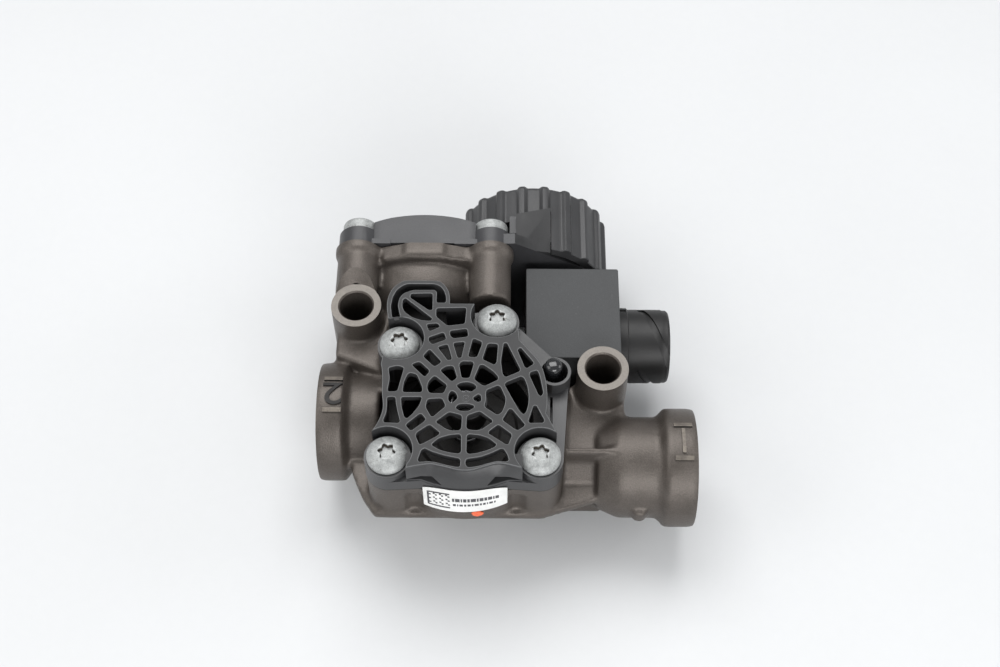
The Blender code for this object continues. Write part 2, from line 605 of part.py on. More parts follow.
def domed_block(name, front, gap):
    """The cover's rounded square with its domed back, grown by gap all round."""
    square = [(-34.5, -5.3), (1.5, -5.3), (7.3, -8.6), (10.9, -16.0), (10.9, -52.0),
              (7.3, -59.4), (1.5, -62.5), (-34.5, -62.5), (-39.9, -59.4), (-43.5, -52.0),
              (-43.5, -16.0), (-39.9, -8.6)]
    block = prism(name, shrunk(square[::-1], -gap), front, 95.0, "Y")
    back = [(0.0, front - 5.0), (34.2 + gap, front - 5.0), (34.2 + gap, 75.8 + gap),
            (28.7 + gap, 79.0 + gap), (20.0, 83.0 + gap), (10.0, 85.2 + gap),
            (0.0, 86.0 + gap)]
    combine(block, turned("back", "Y", (HOUSING_X, PORT_Z), back, 48), "INTERSECT")
    return block


def wing_outline():
    """The plate under the cap, cut off along a slope on its front upper side."""
    outline = [(6.0, -7.0), (10.0, -4.9), (15.9, -4.6), (39.7, -19.0), (46.4, -23.6)]
    return outline + arc((CAP_X, PORT_Z), CAP_R - 0.6, 20, -90, 8) + [(6.0, -58.0)]


def solenoid_cover():
    """Bolted block with the hold chamber's dome and the wing plate beside it."""
    housing = (HOUSING_X, PORT_Z)
    cover = domed_block("solenoid_cover", FLANGE_FRONT_Y, 0.0)
    for centre in LOBES.values():
        add(cover, rod("lobe", "Y", centre, LOBE_R, FLANGE_FRONT_Y + 0.15, FLANGE_BACK_Y, 20))
        cut(cover, rod("head_seat", "Y", centre, LOBE_R, FLANGE_BACK_Y, 90.0, 20))
    add(cover, prism("wing", wing_outline(), FLANGE_FRONT_Y + 0.3, WING_BACK_Y, "Y"))
    add(cover, gusset())

    cut(cover, tube("seal_groove", "Y", housing, 22.9, 25.3, 60.0, 67.9, 36))
    cut(cover, rod("hold_room", "Y", housing, 20.5, 60.0, 80.6, 32))
    cut(cover, box("wire_way", (26.0, 42.0), (60.0, 73.0), (-45.0, -23.0)))
    for centre in LOBES.values():
        cut(cover, rod("bolt_way", "Y", centre, SCREW_HOLE_R, 60.0, 80.0, 16))
    return cover


def ribbed_cap():
    """Cap over the two coils, notched round the dome, the bolt heads and the gusset."""
    outline = []
    for k in range(CAP_RIBS):
        middle = 99.0 + k * 360.0 / CAP_RIBS
        half = math.degrees(CAP_RIB_R / CAP_R)
        for lean, reach in ((-half, 0.0), (-half * 0.5, CAP_RIB_REACH),
                            (half * 0.5, CAP_RIB_REACH), (half, 0.0)):
            turn = math.radians(middle + lean)
            radius = CAP_R + reach
            outline.append((CAP_X + radius * math.cos(turn), PORT_Z + radius * math.sin(turn)))
    cap = prism("ribbed_cap", outline, FLANGE_FRONT_Y + 0.6, CAP_BACK_Y, "Y")
    wing = prism("wing_clear", shrunk(wing_outline()[::-1], -0.12), 60.0, WING_BACK_Y + 0.05,
                 "Y")
    add(wing, prism("below", ((-8.0, -70.0), (60.0, -70.0), (60.0, -25.0), (-8.0, -25.0)),
                    60.0, WING_BACK_Y + 0.05, "Y"))
    cut(cap, wing)

    cut(cap, domed_block("cover_clear", 60.0, 0.3))
    notch = [(16.1, 60.0), (29.0, 60.0), (29.0, 83.3), (16.1, 80.5)]
    cut(cap, prism("gusset_clear", notch, -9.7, 0.0))
    cut(cap, box("gusset_root", (16.1, 29.0), (60.0, 70.6), (-13.5, 0.0)))
    room = rod("coil_room", "Y", (CAP_X, PORT_Z), CAP_CAVITY_R, 60.0, 92.4, 36)
    cut(room, box("between", (-5.0, COIL_ROOM_X), (50.0, 100.0), (-70.0, 0.0)))
    for key in ("upper_right", "lower_right"):
        cut(room, rod("head_wall", "Y", LOBES[key], LOBE_R + 1.6, 50.0, 80.5, 20))
        cut(cap, rod("head_room", "Y", LOBES[key], LOBE_R + 0.3, 60.0, 79.0, 20))
    cut(cap, room)
    return cap


def terminal_block():
    """Hollow block that carries the connector, open at the rear."""
    plan = [(BLOCK_X0, 31.0), (26.0, BLOCK_Y0), (BLOCK_X1, BLOCK_Y0), (BLOCK_X1, BLOCK_Y1),
            (BLOCK_X0, BLOCK_Y1)]
    block = prism("terminal_block", plan, BLOCK_Z0, BLOCK_Z1)
    add(block, box("neck", (24.0, 44.0), (58.0, 65.6), (-48.0, -20.0)))
    room = [(22.4, 32.0), (27.0, 27.0), (36.0, 27.0), (36.0, 29.0), (50.5, 29.0), (50.5, 59.6),
            (22.4, 59.6)]
    cut(block, prism("room", room, BLOCK_Z0 + 2.4, BLOCK_Z1 - 2.4))
    cut(block, box("way", (26.2, 41.8), (50.0, 70.0), (-45.8, -22.2)))
    cut(block, rod("boss_notch", "Z", BOSSES[1], BOSS_R + 1.3, -70.0, 0.0, 32))
    cut(block, rod("spigot_hole", "X", (PLUG_Y, PORT_Z), 9.0, 48.0, 56.0, 20))
    return block


def connector_shell():
    """Round bayonet socket with a blind floor and a spigot into the block."""
    profile = [(0.0, 50.8), (8.6, 50.8), (8.6, 53.1), (PLUG_R, 53.1), (PLUG_R, 56.5),
               (PLUG_R - 0.5, 56.5), (PLUG_R - 0.5, PLUG_END_X - 1.0),
               (PLUG_R - 1.5, PLUG_END_X), (10.8, PLUG_END_X), (10.8, 57.0), (0.0, 57.0)]
    shell = turned("connector_shell", "X", (PLUG_Y, PORT_Z), profile, 32)
    for turn in (90.0, 210.0, 330.0):
        t = math.radians(turn)
        y, z = PLUG_Y + 4.6 * math.cos(t), PORT_Z + 4.6 * math.sin(t)
        cut(shell, rod("pin_hole", "X", (y, z), 1.35, 45.0, 60.0, 10))
    for turn in (65.0, 185.0, 305.0):
        t = math.radians(turn)
        y, z = PLUG_Y + PLUG_R * math.cos(t), PORT_Z + PLUG_R * math.sin(t)
        cut(shell, rod("notch", "X", (y, z), 1.5, 60.5, 63.5, 8))
    return shell


# ---------------------------------------------------------------- inside
def diaphragm(name, axis, centre, face, way):
    """A disc with a raised seat land, a convolution and a stiff middle."""
    profile = [(0.0, 0.0), (11.5, 0.0), (12.5, 1.0), (16.0, 1.0), (17.0, 0.0), (20.0, 0.0),
               (20.0, 1.4), (17.6, 1.4), (16.6, 2.4), (11.8, 2.4), (10.8, 1.8), (0.0, 1.8)]
    return turned(name, axis, centre, [(r, face + way * t) for r, t in profile], 24)


def armature(name, x):
    """Plunger, bored at its rear end for its spring."""
    profile = [(0.0, 71.4), (1.4, 71.4), (1.4, 72.8), (3.3, 72.8), (3.3, 80.9), (2.1, 80.9),
               (2.1, 77.3), (0.0, 77.3)]
    return turned(name, "Y", (x, PORT_Z), profile, 16)


COILS = {"hold": 20.2, "exhaust": 36.2}
parts = []


def merge_flats(mesh):
    """Joins neighbouring faces that lie in one plane."""
    work = bmesh.new()
    work.from_mesh(mesh)
    bmesh.ops.dissolve_limit(work, angle_limit=math.radians(0.1), verts=work.verts,
                             edges=work.edges, use_dissolve_boundaries=False)
    work.to_mesh(mesh)
    work.free()


def keep(ob, material_name, smooth=True):
    """Finishes one piece: scaled to metres, shaded and listed with its material."""
    merge_flats(ob.data)
    ob.data.transform(Matrix.Scale(MM, 4))
    ob.data.name = ob.name
    if smooth:
        ob.data.polygons.foreach_set("use_smooth", [True] * len(ob.data.polygons))
        ob.data.set_sharp_from_angle(angle=math.radians(32))
    parts.append((ob, material_name))
    return ob


def build():
    keep(valve_body(), "cast_aluminium")
    keep(exhaust_cover(), "grey_nylon")
    keep(exhaust_gasket(), "gasket_rubber")
    for key, centre in SCREWS.items():
        keep(screw("grille_screw_" + key, "Z", centre, LUG_TOP_Z + 0.03, -27.5, PAN_HEAD),
             "zinc_steel")
    plug = [(0.0, -11.4), (3.6, -11.4), (3.6, -8.2), (3.1, -6.6), (2.5, -3.2), (2.1, -0.4),
            (1.6, 0.8), (0.8, 1.2), (0.0, 1.2)]
    keep(turned("breather_plug", "Z", (28.9, 12.9), plug, 16), "black_rubber")

    keep(diaphragm("exhaust_diaphragm", "Z", (0.0, 0.0), -23.97, 1.0), "diaphragm_rubber")
    keep(coil_spring("exhaust_spring", "Z", (0.0, 0.0), 4.9, 0.55, -22.1, -2.3, 6, 9, 4),
         "spring_steel")

    keep(solenoid_cover(), "black_nylon")
    keep(ribbed_cap(), "black_nylon")
    for key, centre in LOBES.items():
        keep(screw("cover_bolt_" + key, "Y", centre, FLANGE_BACK_Y + 0.03, 52.0, BOLT_HEAD),
             "zinc_steel")
    keep(ring("solenoid_cover_seal", "Y", (HOUSING_X, PORT_Z), 24.1, 1.0, 66.75, 32, 5),
         "seal_rubber")
    keep(diaphragm("hold_diaphragm", "Y", (HOUSING_X, PORT_Z), 53.63, 1.0), "diaphragm_rubber")
    keep(coil_spring("hold_spring", "Y", (HOUSING_X, PORT_Z), 4.9, 0.55, 55.5, 80.5, 7, 9, 4),
         "spring_steel")

    keep(terminal_block(), "matt_nylon")
    keep(connector_shell(), "black_nylon")
    keep(ring("connector_seal", "X", (PLUG_Y, PORT_Z), 7.7, 0.6, 50.1, 20, 5), "seal_rubber")
    for number, turn in enumerate((90.0, 210.0, 330.0), 1):
        t = math.radians(turn)
        y, z = PLUG_Y + 4.6 * math.cos(t), PORT_Z + 4.6 * math.sin(t)
        tip = [(0.0, 44.0), (1.0, 44.0), (1.0, 65.2), (0.5, 66.2), (0.0, 66.2)]
        keep(turned("connector_pin_%d" % number, "X", (y, z), tip, 10), "tinned_brass")
    board = box("terminal_board", (46.0, 47.6), (32.0, 58.0), (-48.0, -20.0))
    for turn in (90.0, 210.0, 330.0):
        t = math.radians(turn)
        y, z = PLUG_Y + 4.6 * math.cos(t), PORT_Z + 4.6 * math.sin(t)
        cut(board, rod("pin_way", "X", (y, z), 1.3, 40.0, 50.0, 10))
    keep(board, "board_laminate", smooth=False)

    # magnet frame: front and rear plates joined along the bottom
    frame = box("coil_frame", (12.5, 43.6), (70.9, 90.4), (-42.7, -26.0))
    cut(frame, box("inside", (0.0, 60.0), (72.3, 89.0), (-41.4, -10.0)))
    for x in COILS.values():
        cut(frame, rod("front_way", "Y", (x, PORT_Z), 3.7, 60.0, 80.0, 16))
        cut(frame, rod("rear_way", "Y", (x, PORT_Z), 3.1, 80.0, 100.0, 16))
    keep(frame, "zinc_steel", smooth=False)
    for name, x in COILS.items():
        spool = [(3.8, 72.5), (7.2, 72.5), (7.2, 73.6), (4.7, 73.6), (4.7, 87.6), (7.2, 87.6),
                 (7.2, 88.7), (3.8, 88.7)]
        keep(turned(name + "_bobbin", "Y", (x, PORT_Z), spool, 20), "bobbin_plastic")
        keep(tube(name + "_coil", "Y", (x, PORT_Z), 4.95, 6.8, 73.8, 87.4, 20), "copper_wire")
        core = [(0.0, 82.1), (3.5, 82.1), (3.5, 88.8), (2.8, 88.8), (2.8, 91.4), (0.0, 91.4)]
        keep(turned(name + "_core", "Y", (x, PORT_Z), core, 16), "core_steel")
        keep(armature(name + "_armature", x), "core_steel")
        keep(coil_spring(name + "_armature_spring", "Y", (x, PORT_Z), 1.35, 0.3, 77.4, 82.0, 4,
                         8, 3), "spring_steel")

    # adhesive label and inspector's paint dot, on the casting's curved front
    label = []
    for radius in (31.80, 31.66):
        sweep = arc((0.0, 0.0), radius, -116.0, -64.0, 16)
        label += sweep if radius > 31.7 else sweep[::-1]
    keep(prism("label", label, -20.6, -9.0), "label_paper", smooth=False)
    dot = [(0.0, -31.74), (1.9, -31.74), (1.9, -31.64), (0.0, -31.64)]
    keep(turned("paint_mark", "Y", (3.4, -22.7), dot, 16), "orange_paint")


# ---------------------------------------------------------------- materials
MATERIALS = {
    "cast_aluminium": ((0.145, 0.120, 0.104), 0.55, 0.62),
    "grey_nylon": ((0.155, 0.160, 0.166), 0.0, 0.50),
    "black_nylon": ((0.085, 0.088, 0.092), 0.0, 0.48),
    "matt_nylon": ((0.100, 0.104, 0.108), 0.0, 0.72),
    "gasket_rubber": ((0.020, 0.020, 0.021), 0.0, 0.80),
    "seal_rubber": ((0.018, 0.018, 0.019), 0.0, 0.70),
    "diaphragm_rubber": ((0.028, 0.026, 0.025), 0.0, 0.75),
    "black_rubber": ((0.030, 0.030, 0.032), 0.0, 0.35),
    "zinc_steel": ((0.560, 0.560, 0.540), 0.75, 0.50),
    "spring_steel": ((0.420, 0.420, 0.430), 1.0, 0.32),
    "core_steel": ((0.500, 0.500, 0.510), 1.0, 0.30),
    "tinned_brass": ((0.700, 0.620, 0.420), 1.0, 0.28),
    "board_laminate": ((0.075, 0.160, 0.080), 0.0, 0.55),
    "bobbin_plastic": ((0.620, 0.580, 0.480), 0.0, 0.50),
    "copper_wire": ((0.520, 0.200, 0.090), 0.8, 0.35),
    "label_paper": ((0.780, 0.780, 0.770), 0.0, 0.60),
    "orange_paint": ((0.760, 0.170, 0.070), 0.0, 0.55),
}


def dress():
    """Gives each piece a material of its own, named after the piece."""
    for ob, kind in parts:
        colour, metallic, roughness = MATERIALS[kind]
        material = bpy.data.materials.new(ob.name)
        material.use_nodes = True
        shader = material.node_tree.nodes["Principled BSDF"]
        shader.inputs["Base Color"].default_value = (*colour, 1.0)
        shader.inputs["Metallic"].default_value = metallic
        shader.inputs["Roughness"].default_value = roughness
        material.diffuse_color = (*colour, 1.0)
        ob.data.materials.clear()
        ob.data.materials.append(material)


for old in list(bpy.data.objects):
    bpy.data.objects.remove(old)
build()
dress()
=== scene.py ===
import math
from contextlib import contextmanager

import bmesh
import bpy
from mathutils import Matrix, Vector


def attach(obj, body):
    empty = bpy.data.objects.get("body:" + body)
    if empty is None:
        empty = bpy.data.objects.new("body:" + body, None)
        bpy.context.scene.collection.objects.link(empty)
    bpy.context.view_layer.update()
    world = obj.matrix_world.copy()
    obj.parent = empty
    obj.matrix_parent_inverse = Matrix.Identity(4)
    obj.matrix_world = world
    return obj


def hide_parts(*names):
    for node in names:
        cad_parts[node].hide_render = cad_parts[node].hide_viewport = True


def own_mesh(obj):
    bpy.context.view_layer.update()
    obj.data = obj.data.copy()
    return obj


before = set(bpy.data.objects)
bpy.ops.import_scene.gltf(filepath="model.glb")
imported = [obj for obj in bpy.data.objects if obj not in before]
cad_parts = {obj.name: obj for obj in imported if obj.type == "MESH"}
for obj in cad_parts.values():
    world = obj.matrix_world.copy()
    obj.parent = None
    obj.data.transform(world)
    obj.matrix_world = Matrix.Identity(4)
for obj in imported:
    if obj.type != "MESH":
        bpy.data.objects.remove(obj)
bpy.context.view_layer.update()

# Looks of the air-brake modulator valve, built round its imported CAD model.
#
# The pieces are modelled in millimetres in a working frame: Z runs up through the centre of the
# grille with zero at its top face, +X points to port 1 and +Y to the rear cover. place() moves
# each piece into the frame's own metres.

MM = 0.001
OFFSET = Vector((-13.05, -31.2, 63.0))
WELD = 0.002            # corners of a cut closer than this are merged
STOCK = 1.5             # what the casting has over its machined faces before they are cut
FLAT = 0.99             # how far a face's normal points along an axis when it counts as flat

DECK_Z, FOOT_Z, STEP_Z, LUG_TOP_Z = -14.35, -13.7, -8.4, -5.0
PORT_Z, BASE_Z, BOSS_TOP_Z = -34.0, -63.0, -7.5
SCREWS = {
    "rear_left": (-23.0, 23.2),
    "rear_right": (9.9, 32.7),
    "front_left": (-25.2, -19.2),
    "front_right": (24.4, -19.2),
}
LUG_R, RECESS_R, WIDE_RECESS_R, HOLE_R = 7.6, 8.4, 8.9, 3.35
POCKET, POCKET_R, POCKET_WALL_R = (29.3, 12.3), 4.5, 5.5
BOSSES = ((-39.2, 41.1), (45.9, 16.4))
BOSS_R, BOSS_HOLE_R = 8.6, 5.8
DELIVERY_X, DELIVERY_Y = -51.1, 9.6
SUPPLY_X, SUPPLY_Y = 77.2, -7.4
HOUSING_X = -16.3
HOUSING = (HOUSING_X, PORT_Z)
REAR_Y, COVER_Y, LUG_BACK_Y = 65.7, 65.8, 72.8
LOBE_R = 7.3
LOBES = {
    "upper_left": (-39.9, -10.5),
    "upper_right": (7.3, -10.5),
    "lower_left": (-39.9, -55.7),
    "lower_right": (7.3, -55.7),
}
CAP_R, CAP_RIBS, FIRST_RIB = 26.4, 20, 99.0
CAP = (22.6, PORT_Z)
WING_Y, CAP_BACK_Y = 70.5, 94.2
PLUG_Y, PLUG_R, PLUG_X = 41.7, 13.9, 71.3
PLUG = (PLUG_Y, PORT_Z)
BULGE_R, FOOT_R, BULGE_Y = 31.6, 31.4, 2.0
SUNK = 0.8
MARK_ROOT, MARK_HEIGHT = -0.4, 0.7

# the grille from above: its windows, its edge from screw to screw, and the hollow under it
WEB_HOLES = (
    ((-14, 28.8), (-10.3, 29.2), (-9.3, 27.9), (-12.9, 25.9)),
    ((-13.1, 23.5), (-8, 25.6), (-7.1, 22.8), (-11.7, 20.8), (-12.8, 21.9)),
    ((-5.9, 26.2), (-0.2, 27.1), (0.3, 24), (-4.8, 23.2), (-5.9, 24.5)),
    ((-10.8, 35.3), (-0.6, 35.6), (-1, 29.1), (-6.9, 28.3), (-10.8, 32)),
    ((-9.9, 19.7), (-6.6, 20.9), (-5, 15), (-6.3, 14.5)),
    ((-4.7, 21.4), (-0.8, 21.9), (-1.9, 15.6), (-3.1, 15.6)),
    ((-12.6, 18.9), (-8.4, 13.9), (-10.7, 12), (-14.7, 16.1)),
    ((-15.8, 14), (-12.2, 10.4), (-13.8, 8), (-18.4, 12.8)),
    ((-8.8, 10.6), (-6.9, 12.2), (-4.5, 12.4), (-3.1, 7.9), (-4.8, 6.3)),
    ((-2.5, 13.1), (-1.6, 14.2), (1.8, 14.1), (2.3, 13.2), (1, 7.8), (-1.6, 7.8)),
    ((1.9, 23.3), (4.9, 21.9), (4.8, 20.6), (3.3, 15.8), (0.4, 16)),
    ((6.9, 21.3), (10.3, 21.1), (9.9, 14), (9.2, 12.9), (5.2, 15.1)),
    ((12.3, 21.4), (13.3, 21.5), (17.8, 11.2), (17.4, 10.4), (12.9, 8.2), (12, 9.4), (11.4, 14.5)),
    ((16.9, 18.9), (17.9, 19.8), (22.5, 13.6), (20, 11.7), (19.3, 12.2)),
    ((21.1, 10.1), (23.5, 11), (24.3, 8.5), (25.4, 2.2), (24.6, 1), (23.8, 1.6), (20.9, 9)),
    ((18.2, 8.6), (19.2, 7.6), (20.2, 4.5), (20.6, 1), (20.4, -2.3), (19.7, -5), (18.8, -5.9),
     (17.6, -4.5), (15, 0.5), (12.7, 5.3), (13.2, 6.2)),
    ((4.4, 12.8), (5.5, 12.9), (8.7, 10.5), (10.5, 8.2), (10.4, 7.2), (6.1, 4.8), (5.1, 5.2),
     (2.5, 7.4)),
    ((6.6, 3.1), (10.5, 5), (11.3, 4.4), (13, 0.3), (12.8, -2.2), (11.9, -5), (10.4, -6.2),
     (6, -3), (6.6, -1)),
    ((-3.3, 4.9), (-1.8, 5.9), (0.4, 6.2), (2.4, 5.6), (3.6, 4.2), (1.9, 2.6), (0.3, 2.2),
     (-1.4, 2.6)),
    ((-5.8, 1.2), (-4.9, 2.9), (-3.6, 2.3), (-2.6, 0.3), (-4.5, -1.9), (-5.7, -1)),
    ((2.4, 0.3), (4.1, 1.7), (5, 0.8), (5, -1), (3.8, -1.4), (2.6, -0.6)),
    ((-3.4, -3.5), (-2.3, -2.3), (0.2, -2), (2.4, -2.6), (2.8, -3.3), (1.2, -4.6), (-0.6, -4.9),
     (-2.3, -4.5)),
    ((-10.6, 8.6), (-6.3, 4.9), (-7.4, 1.9), (-12.1, 1.9), (-12.9, 4), (-12.4, 6.4)),
    ((-12.6, -0.4), (-7.8, -0.1), (-6.8, -2.6), (-6.9, -3.3), (-10.6, -6.9), (-11.3, -6.7),
     (-13.1, -3.4)),
    ((-5.4, -5.2), (-1.2, -6.4), (-1.3, -11), (-1.9, -11.9), (-4.2, -12.1), (-6.1, -11.5),
     (-9.7, -8.9)),
    ((4.6, -4.8), (9.1, -8.5), (5.3, -11.5), (3.6, -11.9), (1, -11.6), (0.4, -10.8), (0.5, -6.5)),
    ((-18.7, 9.6), (-16.5, 9), (-14.5, 4), (-14.5, 2.2), (-20.9, 2.2), (-20.6, 6), (-19.5, 9)),
    ((-21.3, 0.3), (-14.4, 0.4), (-15.3, -2.9), (-17.4, -6), (-19, -7.7), (-19.9, -7.2),
     (-20.9, -3.6)),
    ((-26, 11.5), (-23, 12.3), (-20.8, 11.6), (-21.5, 8.4), (-22.7, 2.5), (-25.9, 2.4),
     (-25.3, 7.5)),
    ((-25.9, 0.3), (-23.2, 0.4), (-22.9, -2.1), (-22.2, -5.3), (-21.3, -8.8), (-21.8, -9.4),
     (-26.4, -9.2), (-26.7, -8.4), (-25.8, -5.6), (-25.7, -2.3)),
    ((-14.6, -5.7), (-12.9, -7.9), (-13.6, -8.9), (-17.2, -12), (-17.9, -12), (-19.3, -10.2),
     (-18.6, -9.3)),
    ((-11.6, -9.9), (-8.1, -13), (-9, -14), (-13.5, -16.8), (-14.6, -17.2), (-16, -14),
     (-15.5, -12.8)),
    ((-10.9, -17.3), (-8.4, -14.9), (-5.2, -13.8), (-1.9, -13.4), (-1.3, -14), (-1.2, -19.8),
     (-1.9, -20.4), (-5, -20), (-8.3, -19)),
    ((0.6, -14), (1.2, -13.4), (4.7, -13.7), (7.6, -14.8), (10.2, -17), (9.6, -17.9),
     (7.2, -19.1), (3.7, -20.2), (1.3, -20.5), (0.6, -19.9)),
    ((-12.9, -18.6), (-10.4, -19.9), (-6.1, -21.3), (-1.8, -22.2), (-1.3, -22.9), (-1.4, -24.9),
     (-2.2, -25.3), (-6, -24.5), (-9.2, -23.5), (-11.8, -23.2), (-14.5, -23.5), (-14.9, -22.8),
     (-13.9, -19.3)),
    ((1, -22.3), (4.9, -21.7), (8.4, -20.3), (11.6, -18.6), (12.5, -18.7), (13.7, -20.7),
     (14.2, -22.7), (13.4, -23.2), (10.4, -23), (7.7, -23.8), (4.9, -24.7), (2.8, -25.2),
     (1.1, -25.3), (0.4, -24.4), (0.4, -22.9)),
    ((10.7, -9.7), (15.2, -13.4), (14, -16.9), (13.2, -16.9), (7.6, -13), (7.8, -12.2)),
    ((14.2, -3.9), (15.1, -4), (19.3, -9.6), (19, -10.3), (17.1, -11.7), (16.2, -11.4), (12, -8)),
    ((22.2, -2.6), (23.1, -2.6), (25.7, -8.1), (25.2, -8.9), (20.9, -9), (20.5, -8.3)),
    ((-19.8, 41.2), (-12.3, 41.4), (-12.2, 34.7), (-13.3, 34.5), (-19.9, 39.6)),
    ((-21.6, 39.4), (-12.1, 31.1), (-12.6, 30.2), (-15.6, 30.4), (-19, 31.6), (-21.7, 33.9),
     (-22.5, 36), (-22.4, 38.6)),
    ((-25.7, 31.2), (-26.4, 36), (-25.9, 39.8), (-24.6, 42.8), (-22.6, 44.6), (-20.9, 45.3),
     (-11.9, 45.3), (-9.9, 44.5), (-8.5, 42.7), (-7.7, 40.2), (-7.6, 37.6), (-10.9, 37.6),
     (-10.8, 42), (-11.6, 42.9), (-19.2, 42.8), (-22.5, 41.3), (-23.7, 39.3), (-24.1, 36.4),
     (-23.4, 33.3), (-22.9, 31.6)),
)
WEB_TOP = ((-6.3, 37.3), (-6.4, 40.5), (-7.3, 43.4), (-9.1, 45.8), (-11.6, 46.7), (-21.2, 46.7),
           (-23.4, 46), (-25.9, 43.7), (-27.4, 40.3), (-27.8, 36), (-27.1, 31))
WEB_LEFT = ((-28.6, 12.9), (-28.1, 10.3), (-27.8, 5.5), (-27.6, 1.2), (-27.1, -2.5),
            (-27.3, -5.3), (-28.1, -8.1), (-29.1, -10.5))
WEB_FRONT = ((-18.8, -25.8), (-16.7, -25.2), (-12.9, -24.5), (-10.6, -24.3), (-8.1, -24.8),
             (-4.9, -25.6), (-2.4, -26.3), (0, -26.5), (2.4, -26.3), (4.9, -25.6), (7.7, -24.6),
             (10.4, -23.9), (13.4, -24.1), (16.6, -24.9), (18.6, -25.5))
WEB_RIGHT = ((26.3, -5.4), (26.8, 0), (26.3, 7), (24.6, 13.4), (21, 18.5), (17.6, 22.7))
CAVITY = ((-18, -24.1), (-12.9, -23.2), (-10.6, -23), (-8.1, -23.5), (-4.9, -24.3), (0, -25.2),
          (4.9, -24.3), (7.7, -23.3), (10.4, -22.6), (13.4, -22.8), (17, -23.7), (25.7, -12),
          (25, -5.4), (25.5, 0), (25, 6.7), (23.4, 12.7), (19.9, 17.7), (16.3, 22), (14, 30),
          (3, 36), (-7.6, 36), (-7.7, 40.2), (-8.5, 42.8), (-10, 44.6), (-11.9, 45.4),
          (-21, 45.4), (-22.7, 44.8), (-24.8, 42.9), (-26.1, 39.8), (-26.5, 36), (-25.8, 31),
          (-22, 25), (-27.2, 13.2), (-26.8, 10.3), (-26.5, 5.5), (-26.3, 1.2), (-25.8, -2.3),
          (-26, -5), (-26.7, -7.8), (-26, -18))


# ---- building blocks
def linked(name, data):
    ob = bpy.data.objects.new(name, data)
    bpy.context.collection.objects.link(ob)
    return ob


@contextmanager
def editing(mesh):
    """The mesh as a bmesh, which is written back afterwards."""
    work = bmesh.new()
    work.from_mesh(mesh)
    yield work
    work.to_mesh(mesh)
    work.free()


def mesh_object(name, points, faces):
    mesh = bpy.data.meshes.new(name)
    mesh.from_pydata([tuple(p) for p in points], [], faces)
    with editing(mesh) as work:
        bmesh.ops.recalc_face_normals(work, faces=work.faces)
        if work.calc_volume(signed=True) < 0:
            bmesh.ops.reverse_faces(work, faces=work.faces)
    return linked(name, mesh)


def along(axis, a, b, level):
    return {"Z": (a, b, level), "Y": (a, level, b), "X": (level, a, b)}[axis]


def circle(steps):
    return [2 * math.pi * k / steps for k in range(steps)]


def polar(centre, radius, turn):
    return centre[0] + radius * math.cos(turn), centre[1] + radius * math.sin(turn)


def skin(name, rings):
    """A solid through rings of points, with the same number in each, closed at both ends."""
    count = len(rings[0])
    points = [point for ring in rings for point in ring]
    faces = [tuple(range(count))[::-1], tuple(range(len(points) - count, len(points)))]
    for a in range(0, len(points) - count, count):
        for i in range(count):
            j = (i + 1) % count
            faces.append((a + i, a + j, a + count + j, a + count + i))
    return mesh_object(name, points, faces)


def loft(name, outlines, levels, axis="Z"):
    """A solid through plane outlines, one for each level."""
    return skin(name, [[along(axis, a, b, level) for a, b in outline]
                       for outline, level in zip(outlines, levels)])


def prism(name, outline, low, high, axis="Z"):
    return loft(name, (outline, outline), (low, high), axis)


def turned(name, axis, centre, profile, segments):
    """A solid of revolution from a closed (radius, distance along the axis) profile."""
    points, rings = [], []
    for radius, level in profile:
        turns = circle(segments if radius else 1)
        rings.append(range(len(points), len(points) + len(turns)))
        points += [along(axis, *polar(centre, radius, turn), level) for turn in turns]
    faces = []
    for here, there in zip(rings, rings[1:] + rings[:1]):
        for k in range(segments):
            n = (k + 1) % segments
            if len(here) > 1 and len(there) > 1:
                faces.append((here[k], here[n], there[n], there[k]))
            elif len(there) > 1:
                faces.append((here[0], there[n], there[k]))
            elif len(here) > 1:
                faces.append((here[k], here[n], there[0]))
    return mesh_object(name, points, faces)


def rod(name, axis, centre, radius, low, high, segments, far=None):
    far = radius if far is None else far
    return turned(name, axis, centre, [(0, low), (radius, low), (far, high), (0, high)], segments)


def strut(name, start, end, radius):
    a, b = Vector(start), Vector(end)
    way = (b - a).normalized()
    side = way.orthogonal().normalized()
    other = way.cross(side)
    return skin(name, [[centre + radius * (math.cos(turn) * side + math.sin(turn) * other)
                        for turn in circle(24)] for centre in (a, b)])


def box(name, x, y, z):
    return prism(name, ((x[0], y[0]), (x[1], y[0]), (x[1], y[1]), (x[0], y[1])), z[0], z[1])


def arc(centre, radius, first, last, steps):
    return [polar(centre, radius, math.radians(first + (last - first) * i / steps))
            for i in range(steps + 1)]


def corners(outline):
    """Each corner together with the ones before and after it."""
    points = [Vector(p) for p in outline]
    return zip(points[-1:] + points[:-1], points, points[1:] + points[:1])


def shrunk(outline, gap):
    """The counter-clockwise outline moved inwards by gap."""
    moved = []
    for before, here, after in corners(outline):
        d1, d2 = (here - before).normalized(), (after - here).normalized()
        n1, n2 = Vector((-d1.y, d1.x)), Vector((-d2.y, d2.x))
        mitre = (n1 + n2).normalized()
        moved.append(tuple(here + mitre * (gap / max(mitre.dot(n1), 0.5))))
    return moved


def rounded(outline, radius, steps):
    """The outline with each corner rounded, as far as its two sides allow."""
    out = []
    for before, here, after in corners(outline):
        d1, d2 = before - here, after - here
        reach = min(radius, 0.45 * d1.length, 0.45 * d2.length)
        a, b = here + d1.normalized() * reach, here + d2.normalized() * reach
        for k in range(steps + 1):
            t = k / steps
            out.append(tuple(a * (1 - t) ** 2 + here * 2 * t * (1 - t) + b * t * t))
    return out


